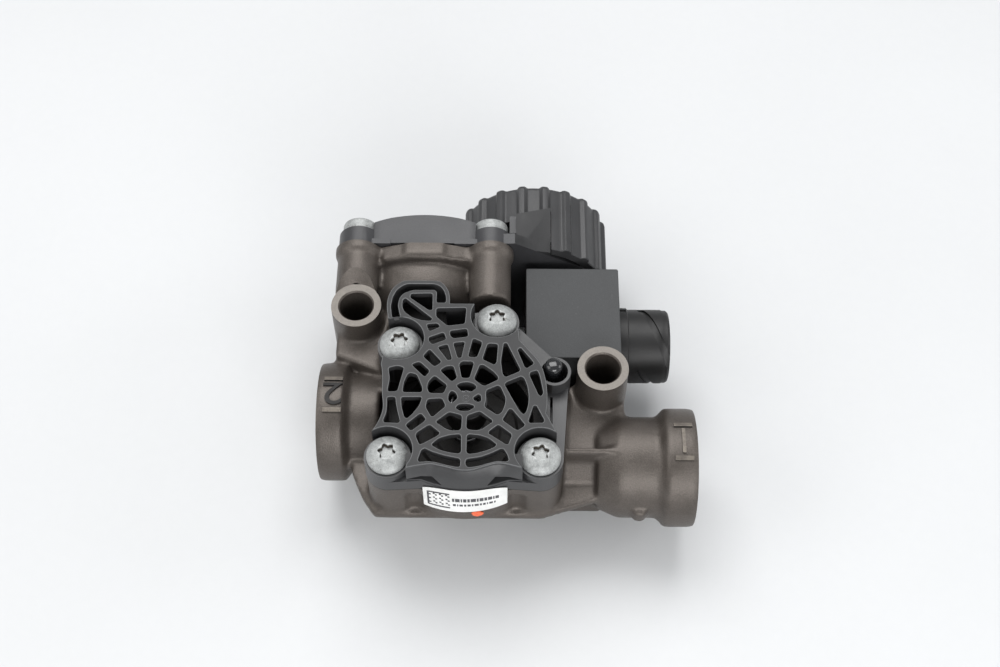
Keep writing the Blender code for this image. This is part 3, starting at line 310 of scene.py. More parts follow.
def smooth_line(points):
    """Catmull-Rom points through an open line, three for each stretch."""
    p = [Vector(q) for q in points]
    p = [2 * p[0] - p[1]] + p + [2 * p[-1] - p[-2]]
    out = []
    for a, b, c, d in zip(p, p[1:], p[2:], p[3:]):
        for k in range(3):
            t = k / 3
            out.append(tuple(0.5 * (2 * b + (c - a) * t + (2 * a - 5 * b + 4 * c - d) * t * t
                                    + (3 * b - a - 3 * c + d) * t ** 3)))
    return out + [tuple(p[-2])]


def evaluated(ob):
    """A new mesh of the object as its modifiers leave it."""
    bpy.context.view_layer.update()
    return bpy.data.meshes.new_from_object(
        ob.evaluated_get(bpy.context.evaluated_depsgraph_get()))


def bake(ob):
    """Applies the object's modifiers."""
    old, ob.data = ob.data, evaluated(ob)
    ob.modifiers.clear()
    bpy.data.meshes.remove(old)
    return ob


def join(obs):
    """Puts several meshes into the first one, as separate shells."""
    with editing(obs[0].data) as work:
        for ob in obs[1:]:
            work.from_mesh(ob.data)
            bpy.data.objects.remove(ob)
    return obs[0]


def combine(ob, tool, how):
    change = ob.modifiers.new(how.lower(), "BOOLEAN")
    change.operation, change.solver, change.object = how, "EXACT", tool
    bake(ob)
    bpy.data.objects.remove(tool)
    with editing(ob.data) as work:
        bmesh.ops.remove_doubles(work, verts=work.verts, dist=WELD)
    return ob


def add(ob, *tools):
    for tool in tools:
        combine(ob, tool, "UNION")


def cut(ob, *tools):
    combine(ob, join(list(tools)), "DIFFERENCE")


def trim(ob, point, normal):
    """Cuts the mesh flat on a plane and closes it."""
    with editing(ob.data) as work:
        geom = list(work.verts) + list(work.edges) + list(work.faces)
        out = bmesh.ops.bisect_plane(work, geom=geom, plane_co=point, plane_no=normal,
                                     clear_outer=True)
        rim = [e for e in out["geom_cut"] if isinstance(e, bmesh.types.BMEdge)]
        bmesh.ops.holes_fill(work, edges=rim, sides=0)
        bmesh.ops.recalc_face_normals(work, faces=work.faces)


def bevel(ob, width, angle, clamp=True):
    change = ob.modifiers.new("bevel", "BEVEL")
    change.width = width
    change.segments = 2
    change.limit_method = "ANGLE"
    change.angle_limit = math.radians(angle)
    change.miter_outer = "MITER_ARC"
    change.use_clamp_overlap = clamp
    return bake(ob)


# ---- materials
def srgb(colour):
    return (*((c / 255 / 12.92) if c <= 10 else ((c / 255 + 0.055) / 1.055) ** 2.4
              for c in colour), 1.0)


def grey(value):
    return (value, value, value, 1.0)


EDGE_HIGHLIGHT_FROM, EDGE_HIGHLIGHT_FULL = 0.57, 0.57 + 0.06


def surface(name, dark, light, rough, metallic, blotch, grain, speck, bump, wear=None, dust=None,
            coat=0.0, stretch=None):
    """A procedural material: two sRGB tones in blotches, fine grain in colour and relief, and
    lighter convex edges as a painted edge highlight, or dust, where asked. Blotch and grain are
    sizes in metres."""
    mat = bpy.data.materials.new(name)
    mat.use_nodes = True
    nodes, links = mat.node_tree.nodes, mat.node_tree.links

    def feed(node, **values):
        """Links or sets the inputs; an underscore stands for a space in a name."""
        for key, value in values.items():
            socket = node.inputs[key.replace("_", " ")]
            if isinstance(value, bpy.types.NodeSocket):
                links.new(value, socket)
            else:
                socket.default_value = value
        return node.outputs

    def new(kind, **values):
        return feed(nodes.new("ShaderNode" + kind), **values)

    at = new("TexCoord")["Object"]
    if stretch:
        at = new("Mapping", Vector=at, Scale=stretch)["Vector"]

    def noise(size, detail=4.0, roughness=0.55):
        return new("TexNoise", Vector=at, Scale=1.0 / size, Detail=detail,
                   Roughness=roughness)["Fac"]

    def ramp(value, *stops):
        node = nodes.new("ShaderNodeValToRGB")
        for el, (position, colour) in zip(node.color_ramp.elements, stops):
            el.position, el.color = position, colour
        return feed(node, Fac=value)["Color"]

    def mix(kind, fac, a, b):
        node = nodes.new("ShaderNodeMix")
        node.data_type, node.blend_type = "RGBA", kind
        return feed(node, Factor=fac, A=a, B=b)["Result"]

    big = noise(blotch)
    colour = ramp(big, (0.35, srgb(dark)), (0.65, srgb(light)))
    fine = noise(grain, 3.0, 0.6)
    grains = ramp(fine, (0.36, grey(1.0 - speck)), (0.64, grey(1.0 + speck)))
    colour = mix("MULTIPLY", 1.0, colour, grains)
    if dust:
        spots = ramp(noise(grain * 3.5, 2.0), (0.66, grey(0)), (0.72, grey(1)))
        colour = mix("MIX", spots, colour, srgb(dust))
    # painted edge highlight: faces on sharp convex edges (found by pointiness) are mixed, in
    # patches, towards the lighter colour
    if wear:
        edge = ramp(new("NewGeometry")["Pointiness"], (EDGE_HIGHLIGHT_FROM, grey(0)), (EDGE_HIGHLIGHT_FULL, grey(1)))
        patchy = ramp(noise(blotch * 0.3), (0.35, grey(0.25)), (0.6, grey(1)))
        colour = mix("MIX", mix("MULTIPLY", 1.0, edge, patchy), colour, srgb(wear))
    low, high = rough
    relief = new("Bump", Strength=bump, Distance=grain * 0.5, Height=fine)["Normal"]
    feed(nodes["Principled BSDF"], Base_Color=colour, Normal=relief, Metallic=metallic,
         Coat_Weight=coat, Roughness=ramp(big, (0.3, grey(low)), (0.7, grey(high))))
    return mat


MATS = {}


def look(key, *values, **extra):
    MATS[key] = surface(*values, **extra)


# the casting gets a painted edge highlight: its convex edges turn lighter
look("casting", "cast_coating", (80, 74, 69), (90, 84, 79), (0.36, 0.46), 0.50, 0.009, 0.00042,
     0.16, 0.55, wear=(120, 113, 104))
look("machined", "machined_rim", (96, 91, 86), (110, 105, 99), (0.34, 0.46), 0.45, 0.004, 0.0004,
     0.10, 0.25)
# painted shade: a near-black used on the sides of the raised port marks, in the exhaust well and in
# the hollow under the grille
look("marks", "painted_shade", (20, 18, 17), (26, 23, 22), (0.55, 0.7), 0.0, 0.004, 0.0004, 0.12,
     0.35)
# the grille's nylon comes as two copies: a lighter one for the skirt, foot and lugs and a darker,
# matter one for the web's top faces; the difference in roughness is real, the difference in tone is
# painted light and shade by which way the faces point
look("grille", "grille_nylon_lit_copy", (50, 50, 51), (54, 54, 55), (0.36, 0.44), 0.0, 0.01, 0.00035,
     0.06, 0.22)
look("web", "web_nylon_shaded_copy", (36, 36, 37), (40, 40, 41), (0.54, 0.62), 0.0, 0.01, 0.00035, 0.06, 0.22)
# painted highlight: a lighter copy of the grille nylon for the bevelled edges of the web
look("edge", "grille_edge_painted_highlight", (78, 79, 80), (90, 91, 92), (0.36, 0.46), 0.0, 0.004, 0.00035, 0.08,
     0.22)
look("cover", "cover_nylon", (52, 52, 54), (56, 56, 58), (0.36, 0.46), 0.0, 0.01, 0.0004, 0.08,
     0.25)
look("cap", "cap_nylon", (48, 48, 49), (53, 53, 54), (0.36, 0.46), 0.0, 0.012, 0.0004, 0.07, 0.22)
look("block", "block_nylon", (56, 57, 58), (64, 65, 66), (0.60, 0.72), 0.0, 0.01, 0.0003, 0.10,
     0.50, dust=(66, 67, 68))
look("socket", "socket_nylon", (10, 9, 9), (13, 12, 12), (0.46, 0.54), 0.0, 0.008, 0.00035, 0.08,
     0.20)
look("screw", "zinc_flake", (146, 148, 147), (168, 170, 169), (0.42, 0.56), 0.40, 0.0014, 0.00035,
     0.14, 0.35, dust=(122, 121, 117))
# painted shade: a darker tone for the walls of the screw's six-lobe recess
look("drive", "recess_painted_shade", (48, 42, 37), (74, 68, 60), (0.5, 0.7), 0.3, 0.0015, 0.0003, 0.15,
     0.3)
look("plug", "breather_rubber", (20, 21, 23), (27, 28, 30), (0.14, 0.22), 0.0, 0.004, 0.0004,
     0.08, 0.10, coat=0.4)
look("gasket", "gasket_sheet", (34, 33, 33), (46, 45, 44), (0.7, 0.85), 0.0, 0.006, 0.0004, 0.15,
     0.4)
look("rubber", "seal_ring", (28, 28, 29), (38, 38, 39), (0.5, 0.65), 0.0, 0.004, 0.0003, 0.10, 0.2)
look("membrane", "diaphragm_fabric", (34, 33, 32), (48, 46, 44), (0.6, 0.8), 0.0, 0.003, 0.00025,
     0.25, 0.6)
look("spring", "spring_wire", (120, 120, 122), (168, 168, 170), (0.25, 0.4), 0.9, 0.002, 0.0002,
     0.08, 0.15)
look("core", "ground_steel", (150, 150, 150), (186, 186, 186), (0.22, 0.38), 0.95, 0.003, 0.0003,
     0.07, 0.2, stretch=(1, 0.1, 1))
look("brass", "tinned_brass", (176, 160, 118), (206, 192, 150), (0.2, 0.34), 0.95, 0.002, 0.0002,
     0.06, 0.1)
look("board", "board_laminate", (38, 74, 44), (50, 92, 56), (0.4, 0.55), 0.0, 0.003, 0.0003, 0.10,
     0.15)
look("bobbin", "bobbin_nylon", (196, 188, 168), (212, 204, 186), (0.4, 0.55), 0.0, 0.004, 0.0003,
     0.05, 0.12)
look("copper", "enamelled_wire", (138, 74, 38), (186, 108, 58), (0.22, 0.36), 0.85, 0.0012,
     0.00025, 0.20, 0.5, stretch=(0.25, 1.6, 0.25))
look("paper", "label_paper", (222, 222, 220), (236, 236, 234), (0.5, 0.6), 0.0, 0.006, 0.0003,
     0.02, 0.05)
look("ink", "label_ink", (48, 48, 52), (84, 84, 88), (0.5, 0.6), 0.0, 0.001, 0.0002, 0.3, 0.05)
look("orange", "paint_dab", (228, 92, 52), (236, 112, 70), (0.4, 0.55), 0.0, 0.001, 0.0003, 0.06,
     0.3)


def place(ob, name, mats, node, smooth):
    """Moves a finished mesh to the frame, gives it its materials, hangs it on the housing and hides
    the node it replaces.
    Up to 35 degrees of smoothing the large flat faces also set the normals."""
    ob.data.transform(Matrix.Scale(MM, 4) @ Matrix.Translation(OFFSET))
    ob.name = ob.data.name = name
    index = [face.material_index for face in ob.data.polygons]
    for key in mats:
        ob.data.materials.append(MATS[key])
    ob.data.polygons.foreach_set("material_index", index)
    ob.data.polygons.foreach_set("use_smooth", [True] * len(index))
    ob.data.set_sharp_from_angle(angle=math.radians(smooth))
    if smooth <= 35:
        ob.modifiers.new("normals", "WEIGHTED_NORMAL").keep_sharp = True
        bake(ob)
    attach(ob, "housing")
    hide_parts(node)
    return ob


def paint(ob, index, test):
    """Gives material number index to the faces whose (centre, normal) pass the test."""
    for face in ob.data.polygons:
        if test(face.center, face.normal):
            face.material_index = index


# ---- outlines
def web_outline():
    points = smooth_line(WEB_FRONT)
    points += arc(SCREWS["front_right"], RECESS_R, 230, 50, 24)[1:]
    points += smooth_line(WEB_RIGHT)
    points += arc(SCREWS["rear_right"], WIDE_RECESS_R, -35, -211, 24)
    points += smooth_line(WEB_TOP)
    points += arc(SCREWS["rear_left"], RECESS_R, 112, -128, 28)
    points += smooth_line(WEB_LEFT)
    points += arc(SCREWS["front_left"], RECESS_R, 128, -44, 24)[:-1]
    return points


def foot_outline():
    points = [(x / 4, BULGE_Y - math.sqrt(FOOT_R ** 2 - (x / 4) ** 2)) for x in range(-56, 57, 7)]
    points += arc(SCREWS["front_right"], LUG_R, -95, 0, 14)
    points += arc(POCKET, POCKET_WALL_R, -30, 45, 8)
    points += arc(SCREWS["rear_right"], LUG_R, 0, 112, 16)
    points += smooth_line(WEB_TOP)
    points += arc(SCREWS["rear_left"], LUG_R, 130, 215, 12)
    points += smooth_line(WEB_LEFT[1:-1])
    points += arc(SCREWS["front_left"], LUG_R, 150, 275, 18)
    return points


# ---- casting
def bent_bar(port, low_x, high_x, first, last):
    """A raised rectangle on a port collar, between two angles from the top."""
    y, radius = port
    rings, steps = [], 6
    for i in range(steps + 1):
        turn = math.radians(first + (last - first) * i / steps)
        root, top = ((y + r * math.sin(turn), PORT_Z + r * math.cos(turn))
                     for r in (radius + MARK_ROOT, radius + MARK_HEIGHT))
        rings.append([(low_x, *root), (high_x, *root), (high_x, *top), (low_x, *top)])
    return skin("bar", rings)


def digit(text, port, mid_x, width, high_deg, low_deg):
    """A raised number on a port collar, read from the rear of the valve."""
    y, radius = port
    curve = bpy.data.curves.new("digit", "FONT")
    curve.body = text
    curve.extrude = 0.5
    curve.resolution_u = 6
    ob = linked("digit", curve)
    mesh = evaluated(ob)
    bpy.data.objects.remove(ob)
    with editing(mesh) as work:
        bmesh.ops.remove_doubles(work, verts=work.verts, dist=0.0005)
        xs = [v.co.x for v in work.verts]
        ys = [v.co.y for v in work.verts]
        for v in work.verts:
            u = (v.co.x - min(xs)) / (max(xs) - min(xs)) - 0.5
            w = (v.co.y - min(ys)) / (max(ys) - min(ys))
            turn = math.radians(high_deg + (low_deg - high_deg) * w)
            r = radius + (MARK_HEIGHT if v.co.z > 0 else MARK_ROOT)
            v.co = Vector((mid_x - u * width, y + r * math.sin(turn),
                           PORT_Z + r * math.cos(turn)))
        bmesh.ops.recalc_face_normals(work, faces=work.faces)
    return linked("digit", mesh)


def casting():
    body = prism("casting", shrunk(foot_outline(), 0.1), -31.0, DECK_Z + 1.5)
    # hollows beside the label's bulge
    for side in (-1, 1):
        cut(body, strut("dip", (side * 16.6, -28.9, -18.4), (side * 17.2, -29.6, -40.0), 4.6))
    belt = [(-31, -27.5), (-28, -27.7), (25.5, -27.7), (29.5, -26.3), (45, -21.2), (50, -18),
            (50.5, 10), (40, 22), (30, 21), (15.2, 32.2), (15, 57), (-40, 57), (-42, 30),
            (-41, 0), (-39, -12.7), (-35.4, -21)]
    under = [(-29, -25), (-27, -25.2), (24.5, -25.2), (28.5, -24), (44, -19), (49, -16),
             (49.5, 9.5), (39.5, 21.5), (29.5, 20.5), (15, 31.7), (14.8, 56.5), (-39.5, 56.5),
             (-41.5, 29.5), (-40.5, 0.5), (-38, -11), (-34.4, -19)]
    base = [(-26, -7), (-22, -8), (20, -8), (24, -7), (36, -5), (41, -2), (42, 9), (36, 18),
            (28, 19), (14.4, 30.5), (14.2, 52), (-36, 52), (-38, 29), (-36, 8), (-33, 2),
            (-30, -3)]
    low = loft("pedestal", (base, under), (BASE_Z - 2.0, -33.6))
    cut(low, box("under", (16.0, 70.0), (-40.0, 40.0), (-80.0, -52.0)))
    solids = [body, prism("belt", belt, -34.0, -30.5), low]

    rings = []
    for x in (x / 2 for x in range(-28, 29, 4)):
        front = BULGE_Y - math.sqrt(BULGE_R ** 2 - x * x)
        rings.append([(x, -20, -12.5), (x, front, -12.5), (x, front, -26.2), (x, -25.6, -33.4),
                      (x, -20, -33.4)])
    solids.append(skin("bulge", rings))

    bridge = [(22.0, -17.0), (46.0, -17.0), (54.0, -8.0), (54.0, 14.0), (46.0, 22.0),
              (28.0, 15.0)]
    link = [(-46.5, 27.0), (-30.0, 20.0), (-20.0, 40.0), (-38.0, 48.5), (-46.5, 41.0)]
    upper = [(22.0, -10.3), (46.0, -10.3)] + bridge[2:]
    solids += [loft("bridge", (bridge, bridge, upper), (-50.0, -31.5, -22.0)),
               prism("link", link, -60.0, -17.5),
               loft("rib", (((30.0, -11.2), (52.5, -11.2), (52.5, -8.6), (30.0, -8.6)),
                            ((30.0, -10.9), (51.0, -10.9), (51.0, -8.9), (30.0, -8.9))),
                    (-26.0, -16.6))]
    arch = [(0, 30), (17, 30), (20.2, 46.5), (23.2, 48.6), (25.3, 51.8), (26.2, 55.5),
            (26.4, 58.0), (26.8, 60.5), (0, 60.5)]
    solids += [turned("arch", "Y", HOUSING, arch, 96),
               rod("rim", "Y", HOUSING, 29.0, 59.6, REAR_Y + STOCK, 96)]
    brow = [(-31.0, -20.0), (-31.0, -6.8), (-22.5, -4.6), (-9.7, -4.6), (0.0, -6.8), (0.0, -20.0)]
    solids.append(prism("brow", brow, 60.2, REAR_Y + STOCK, "Y"))
    solids.append(box("plate", (-23.0, -9.2), (61.0, REAR_Y + STOCK), (-10.0, -3.9)))
    for key, centre in LOBES.items():
        front = 43.0 if key == "upper_right" else 47.0
        solids.append(rod("lobe", "Y", centre, LOBE_R, front, 63.5, 40))
        band = LOBE_R + 1.0 if key.startswith("upper") else LOBE_R
        solids.append(rod("band", "Y", centre, band, 62.9, REAR_Y + STOCK, 40))
    delivery = [(0, -30), (17.2, -30), (17.2, -40.9), (18.6, -41.2), (20.6, -42.6),
                (20.6, DELIVERY_X + 1.0), (19.6, DELIVERY_X - STOCK), (0, DELIVERY_X - STOCK)]
    supply = [(0, 44.0), (14.0, 44.0), (17.3, 51.5), (17.3, 64.8), (20.3, 67.3),
              (20.3, SUPPLY_X - 1.0), (19.3, SUPPLY_X + STOCK), (0, SUPPLY_X + STOCK)]
    solids += [turned("delivery", "X", (DELIVERY_Y, PORT_Z), delivery, 72),
               turned("supply", "X", (SUPPLY_Y, PORT_Z), supply, 72),
               rod("nub", "Z", (58.5, SUPPLY_Y - 17.0), 2.7, -36.8, -31.2, 20)]
    for centre in BOSSES:
        solids.append(rod("boss", "Z", centre, BOSS_R + 0.4, BASE_Z - 2.0, BOSS_TOP_Z + 2.0, 56,
                          BOSS_R + 0.15))
    join(solids)
    remesh = body.modifiers.new("remesh", "REMESH")
    remesh.mode = "VOXEL"
    remesh.voxel_size = 0.85
    soft = body.modifiers.new("soft", "SMOOTH")
    soft.factor = 0.5
    soft.iterations = 7
    bake(body)

    # machined faces
    trim(body, (0, 0, BASE_Z), (0, 0, -1))
    trim(body, (0, REAR_Y, 0), (0, 1, 0))
    trim(body, (DELIVERY_X, 0, 0), (-1, 0, 0))
    trim(body, (SUPPLY_X, 0, 0), (1, 0, 0))
    deck = [rod("top", "Z", c, BOSS_R + 0.35, BOSS_TOP_Z, 6.0, 56, BOSS_R + 14.0)
            for c in BOSSES]
    deck.append(prism("deck", shrunk(foot_outline(), -0.7), DECK_Z, 4.0))
    for tool in deck:
        cut(body, tool)

    well = [(0, -44), (8, -44), (8, -24), (9.8, -24), (9.8, -30), (22.5, -30), (22.5, -10),
            (0, -10)]
    room = [(0, 27.5), (8, 27.5), (8, 53.6), (9.8, 53.6), (9.8, 48.5), (22, 48.5), (22, 80),
            (0, 80)]
    cut(body, prism("sunk", CAVITY, DECK_Z - SUNK, DECK_Z + 0.5))
    tools = [turned("well", "Z", (0, 0), well, 64), turned("room", "Y", HOUSING, room, 64)]
    for centre in SCREWS.values():
        tools.append(rod("hole", "Z", centre, HOLE_R, -29.0, -5.0, 24))
    for centre in LOBES.values():
        tools.append(rod("hole", "Y", centre, HOLE_R, 50.0, 70.0, 24))
    for centre in BOSSES:
        bore = [(0, BASE_Z - 3), (BOSS_HOLE_R + 0.6, BASE_Z - 3), (BOSS_HOLE_R + 0.6, BASE_Z),
                (BOSS_HOLE_R, BASE_Z + 0.6), (BOSS_HOLE_R, BOSS_TOP_Z - 0.5),
                (BOSS_HOLE_R + 0.5, BOSS_TOP_Z), (BOSS_HOLE_R + 0.5, 5.0), (0, 5.0)]
        tools.append(turned("bore", "Z", centre, bore, 56))
    for y, face, inner, way in ((DELIVERY_Y, DELIVERY_X, -38.0, 1), (SUPPLY_Y, SUPPLY_X, 59.0, -1)):
        thread = [(0, face - 3 * way), (14.6, face - 3 * way), (14.6, face - 0.01 * way),
                  (13.3, face + 1.3 * way)]
        for k in range(6):
            thread += [(12.7, face + (2.0 + 1.5 * k) * way), (13.3, face + (2.7 + 1.5 * k) * way)]
        thread += [(13.0, inner), (0, inner)]
        tools.append(turned("thread", "X", (y, PORT_Z), thread, 64))
    cut(body, *tools)
    cut(body, rod("delivery_way", "X", (6.0, -42.0), 7.0, -46.0, 3.0, 24),
        strut("supply_way", (63.0, -7.4, -37.0), (30.0, -5.0, -41.0), 6.0),
        strut("hold_way", (HOUSING_X, 30.0, -36.0), (HOUSING_X, 14.5, -40.0), 6.0))
    cut(body, strut("supply_rise", (32.0, -7.5, -41.0), (-5.5, 51.0, -42.5), 5.5))

    machined, dark = 1, 2
    paint(body, machined, lambda c, n: n.z > FLAT and abs(c.z - BOSS_TOP_Z) < 0.05)
    paint(body, machined, lambda c, n: abs(n.x) > FLAT and (c.x < DELIVERY_X + 0.05
                                                            or c.x > SUPPLY_X - 0.05))
    # painted shade: the exhaust well and the sunk pocket round it get the dark material, so they
    # read as shadow through the grille
    paint(body, dark, lambda c, n: math.hypot(c.x, c.y) < 22.7 and -46.0 < c.z < DECK_Z - 0.3)
    paint(body, dark, lambda c, n: abs(c.z - DECK_Z + SUNK) < 0.05 and n.z > FLAT)

    port_2, port_1 = (DELIVERY_Y, 20.5), (SUPPLY_Y, 20.2)
    marks = [(port_2, digit("2", port_2, -45.8, 6.6, 10.0, -12.6))]
    for port, *bar in ((port_2, -48.9, -42.6, 13.4, 17.6), (port_2, -48.9, -42.6, -19.8, -15.6),
                       (port_1, 69.4, 75.6, 14.2, 18.4), (port_1, 69.4, 75.6, -20.4, -16.2),
                       (port_1, 71.9, 73.1, -13.4, 12.0)):
        marks.append((port, bent_bar(port, *bar)))
    # painted shade: the sides of the raised marks get the dark material, as a shadow round them
    for (y, radius), ob in marks:
        paint(ob, dark, lambda c, n: n.dot(Vector((0, c.y - y, c.z - PORT_Z)).normalized()) < 0.8)
    return join([body] + [ob for port, ob in marks])


# ---- grille
def web_plate():
    """The flat pierced web, with softened edges."""
    edge = []
    for point in web_outline():
        if not edge or (Vector(point) - Vector(edge[-1])).length > 0.25:
            edge.append(point)
    plate = prism("web", edge, -2.6, 0.0)
    cut(plate, *[prism("window", rounded(hole, 0.9, 4), -3.0, 1.0) for hole in WEB_HOLES])
    return bevel(plate, 0.26, 50, clamp=False)


def grille():
    cover = prism("grille", shrunk(web_outline(), 0.05), FOOT_Z, -1.9)
    add(cover, prism("foot", foot_outline(), FOOT_Z, STEP_Z))
    rings = []
    for x, top_y in smooth_line(WEB_FRONT):
        low_y = BULGE_Y - math.sqrt(FOOT_R ** 2 - x * x) if abs(x) < 14 else -26.1
        rings.append([(x, -20, STEP_Z - 0.6), (x, low_y + 0.03, STEP_Z - 0.6),
                      (x, low_y * 0.55 + top_y * 0.45 - 0.25, -3.4), (x, top_y + 0.04, -0.9),
                      (x, -20, -0.9)])
    add(cover, skin("skirt", rings))
    for centre in SCREWS.values():
        add(cover, rod("lug", "Z", centre, LUG_R, FOOT_Z, LUG_TOP_Z, 48))
    add(cover, rod("pocket_wall", "Z", POCKET, POCKET_WALL_R, FOOT_Z, -3.0, 40))

    room = prism("cavity", CAVITY, -20.0, 3.0)
    for key, centre in SCREWS.items():
        wall = WIDE_RECESS_R if key == "rear_right" else RECESS_R
        cut(room, rod("pillar", "Z", centre, wall + 1.4, -21.0, 4.0, 40))
    cut(cover, room)
    tools = [rod("way", "Z", c, HOLE_R, -20.0, 0.0, 24) for c in SCREWS.values()]
    tools.append(rod("pocket", "Z", POCKET, POCKET_R, -11.5, 3.0, 40))
    for outer, peak, inner in ((-19.4, -10.5, -7.2), (19.4, 9.9, 7.2)):
        tools.append(prism("notch", ((outer, -7.5), (peak, -4.2), (inner, -7.5)),
                           -40.0, -24.6, "Y"))
    cut(cover, *tools)
    strip = [(27.6, -11.0), (28.5, -11.0), (28.8, 5.2), (27.9, 5.6)]
    cut(cover, prism("groove", strip, -12.9, -2.0))
    bevel(cover, 0.3, 40)
    web = web_plate()
    hub = turned("hub", "Z", (0.0, 0.1), [(0, -2.6), (1.5, -2.6), (1.5, 0.03), (1.4, 0.14),
                                          (1.05, 0.14), (0.9, 0.03), (0.45, 0.03), (0.35, 0.14),
                                          (0, 0.14)], 32)
    guide = turned("guide", "Z", (0, 0), [(5.9, -11), (7, -11), (7, -2.0), (5.9, -2.0)], 40)
    join([cover, web, hub, guide])

    web_back, level, dark, edge, face = -2.7, 0.97, 1, 2, 3

    def shaded(c, n):
        away = math.hypot(c.x, c.y)
        inward = n.x * c.x + n.y * c.y < -0.3 * away
        return c.z < web_back and (away < 7.2 or away < 29.0 and inward)
    paint(cover, dark, shaded)
    # painted shade: the up-facing web faces get the darker copy of the nylon
    paint(cover, face, lambda c, n: c.z > web_back and n.z > level)
    # painted highlight: the bevel strips round the web's top get the lighter edge material
    paint(cover, edge, lambda c, n: c.z > -0.35 and 0.2 < n.z < level)
    return cover


def gasket():
    sheet = prism("gasket", shrunk(foot_outline(), 0.15), DECK_Z + 0.02, FOOT_Z - 0.02)
    cut(sheet, prism("window", CAVITY, -20.0, 0.0))
    return sheet


# ---- fasteners
def lobed(centre, radius, swing):
    return [polar(centre, radius + swing * math.cos(6 * t), t) for t in circle(48)]


def screw(name, axis, centre, seat, tip, head, spin):
    """A screw with a rounded head and a six-lobe recess; head lists (radius, height)."""
    top = seat + head[-1][1]
    profile = [(0, tip), (2.2, tip), (3.0, tip + 0.8), (3.0, seat), (head[0][0] - 0.3, seat)]
    profile += [(r, seat + h) for r, h in head] + [(0, top)]
    ob = turned(name, axis, centre, profile, 72)
    drive = loft("drive", (lobed(centre, 2.3, 0.42), lobed(centre, 2.5, 0.45),
                           lobed(centre, 2.8, 0.45)), (top - 1.7, top - 0.3, top + 0.25), axis)
    pivot = Matrix.Translation(along(axis, *centre, 0))
    drive.data.transform(pivot @ Matrix.Rotation(math.radians(spin), 4, axis) @ pivot.inverted())
    cut(ob, drive)
    bevel(ob, 0.12, 50)
    up, across = "XYZ".index(axis), {"Z": 1, "Y": 2}[axis]
    # painted shade: the recess walls get the darker drive material
    paint(ob, 1, lambda c, n: math.hypot(c.x - centre[0], c[across] - centre[1]) < 3.4
          and top - 2.6 < c[up] < top - 0.2 and abs(n[up]) < 0.5)
    return ob


PAN = ((6.55, 0.05), (6.75, 0.35), (6.75, 1.15), (6.62, 1.55), (6.2, 2.1), (5.5, 2.7), (4.6, 3.25),
       (3.7, 3.65), (3.1, 3.85), (2.95, 3.9))
BOLT = ((6.05, 0.05), (6.2, 0.25), (6.2, 3.5), (6.0, 4.05), (5.5, 4.45), (4.6, 4.7), (3.4, 4.85),
        (3.0, 4.9))


# ---- rear cover, cap, block
def domed_block(name, front, gap, steps=96):
    square = rounded([(-36.0, -5.3), (3.2, -5.3), (10.9, -12.0), (10.9, -56.0), (3.2, -62.5),
                      (-36.0, -62.5), (-43.5, -56.0), (-43.5, -12.0)], 8.0, 8)
    block = prism(name, shrunk(square[::-1], -gap), front, 95.0, "Y")
    back = [(0, front - 5), (34.2 + gap, front - 5)]
    back += [(r + gap, y + gap) for r, y in ((34.2, 75.4), (33.4, 76.0), (31.2, 77.6),
                                             (28.7, 79.0), (24.5, 81.2))]
    back += [(r, y + gap) for r, y in ((20, 83.0), (15, 84.3), (10, 85.2), (5, 85.8), (0, 86.0))]
    return combine(block, turned("back", "Y", HOUSING, back, steps), "INTERSECT")


def wing_outline():
    outline = [(6.0, -7.0), (10.0, -4.9), (15.9, -4.6), (39.7, -19.0), (46.4, -23.6)]
    return outline + arc(CAP, CAP_R - 0.6, 20, -90, 24) + [(6.0, -58.0)]


def rear_cover():
    cover = domed_block("rear_cover", COVER_Y + 0.75, 0.0)
    for centre in LOBES.values():
        lobe = [(0, COVER_Y + 0.1), (LOBE_R, COVER_Y + 0.1), (LOBE_R, LUG_BACK_Y - 0.5),
                (LOBE_R - 0.5, LUG_BACK_Y), (0, LUG_BACK_Y)]
        add(cover, turned("lobe", "Y", centre, lobe, 48))
        cut(cover, rod("head_seat", "Y", centre, LOBE_R - 0.1, LUG_BACK_Y, 90.0, 48))
    add(cover, rod("spigot", "Y", HOUSING, 28.2, COVER_Y + 0.05, 70.0, 64))
    add(cover, prism("wing", wing_outline(), COVER_Y + 0.3, WING_Y, "Y"))
    points = [(x, y, z) for x, front_z, back_y in ((16.4, -8.0, 80.2), (28.7, -10.2, 83.0))
              for y, z in ((66.2, front_z), (back_y, -5.8), (back_y, -9.4), (70.3, -9.4),
                           (70.3, -12.0), (66.2, -12.0))]
    faces = [(0, 1, 2, 3, 4, 5), (11, 10, 9, 8, 7, 6), (0, 6, 7), (0, 7, 1)]
    faces += [(k, k + 6, (k + 1) % 6 + 6, (k + 1) % 6) for k in range(1, 6)]
    add(cover, mesh_object("gusset", points, faces))
    add(cover, box("gusset_root", (14.0, 16.7), (72.9, 80.4), (-14.0, -7.7)))
    for low, high in ((-35.6, -28.4), (-5.6, 4.6)):
        add(cover, box("tab", (low, high), (COVER_Y + 0.3, 68.2), (-12.0, -5.05)))
    groove = [(22.9, 60), (25.3, 60), (25.3, 67.9), (22.9, 67.9)]
    cut(cover, turned("groove", "Y", HOUSING, groove, 64))
    cut(cover, rod("room", "Y", HOUSING, 20.5, 60.0, 80.6, 64),
        box("wire_way", (26.0, 42.0), (60.0, 73.0), (-45.0, -23.0)),
        *[rod("way", "Y", c, HOLE_R, 60.0, 80.0, 24) for c in LOBES.values()])
    bevel(cover, 0.4, 32)
    # painted shade: the gusset gets the darker rubber material, so its steep face reads as shaded
    paint(cover, 1, lambda c, n: 16.2 < c.x < 28.9 and c.y > 66 and c.z > -12.2)
    return cover


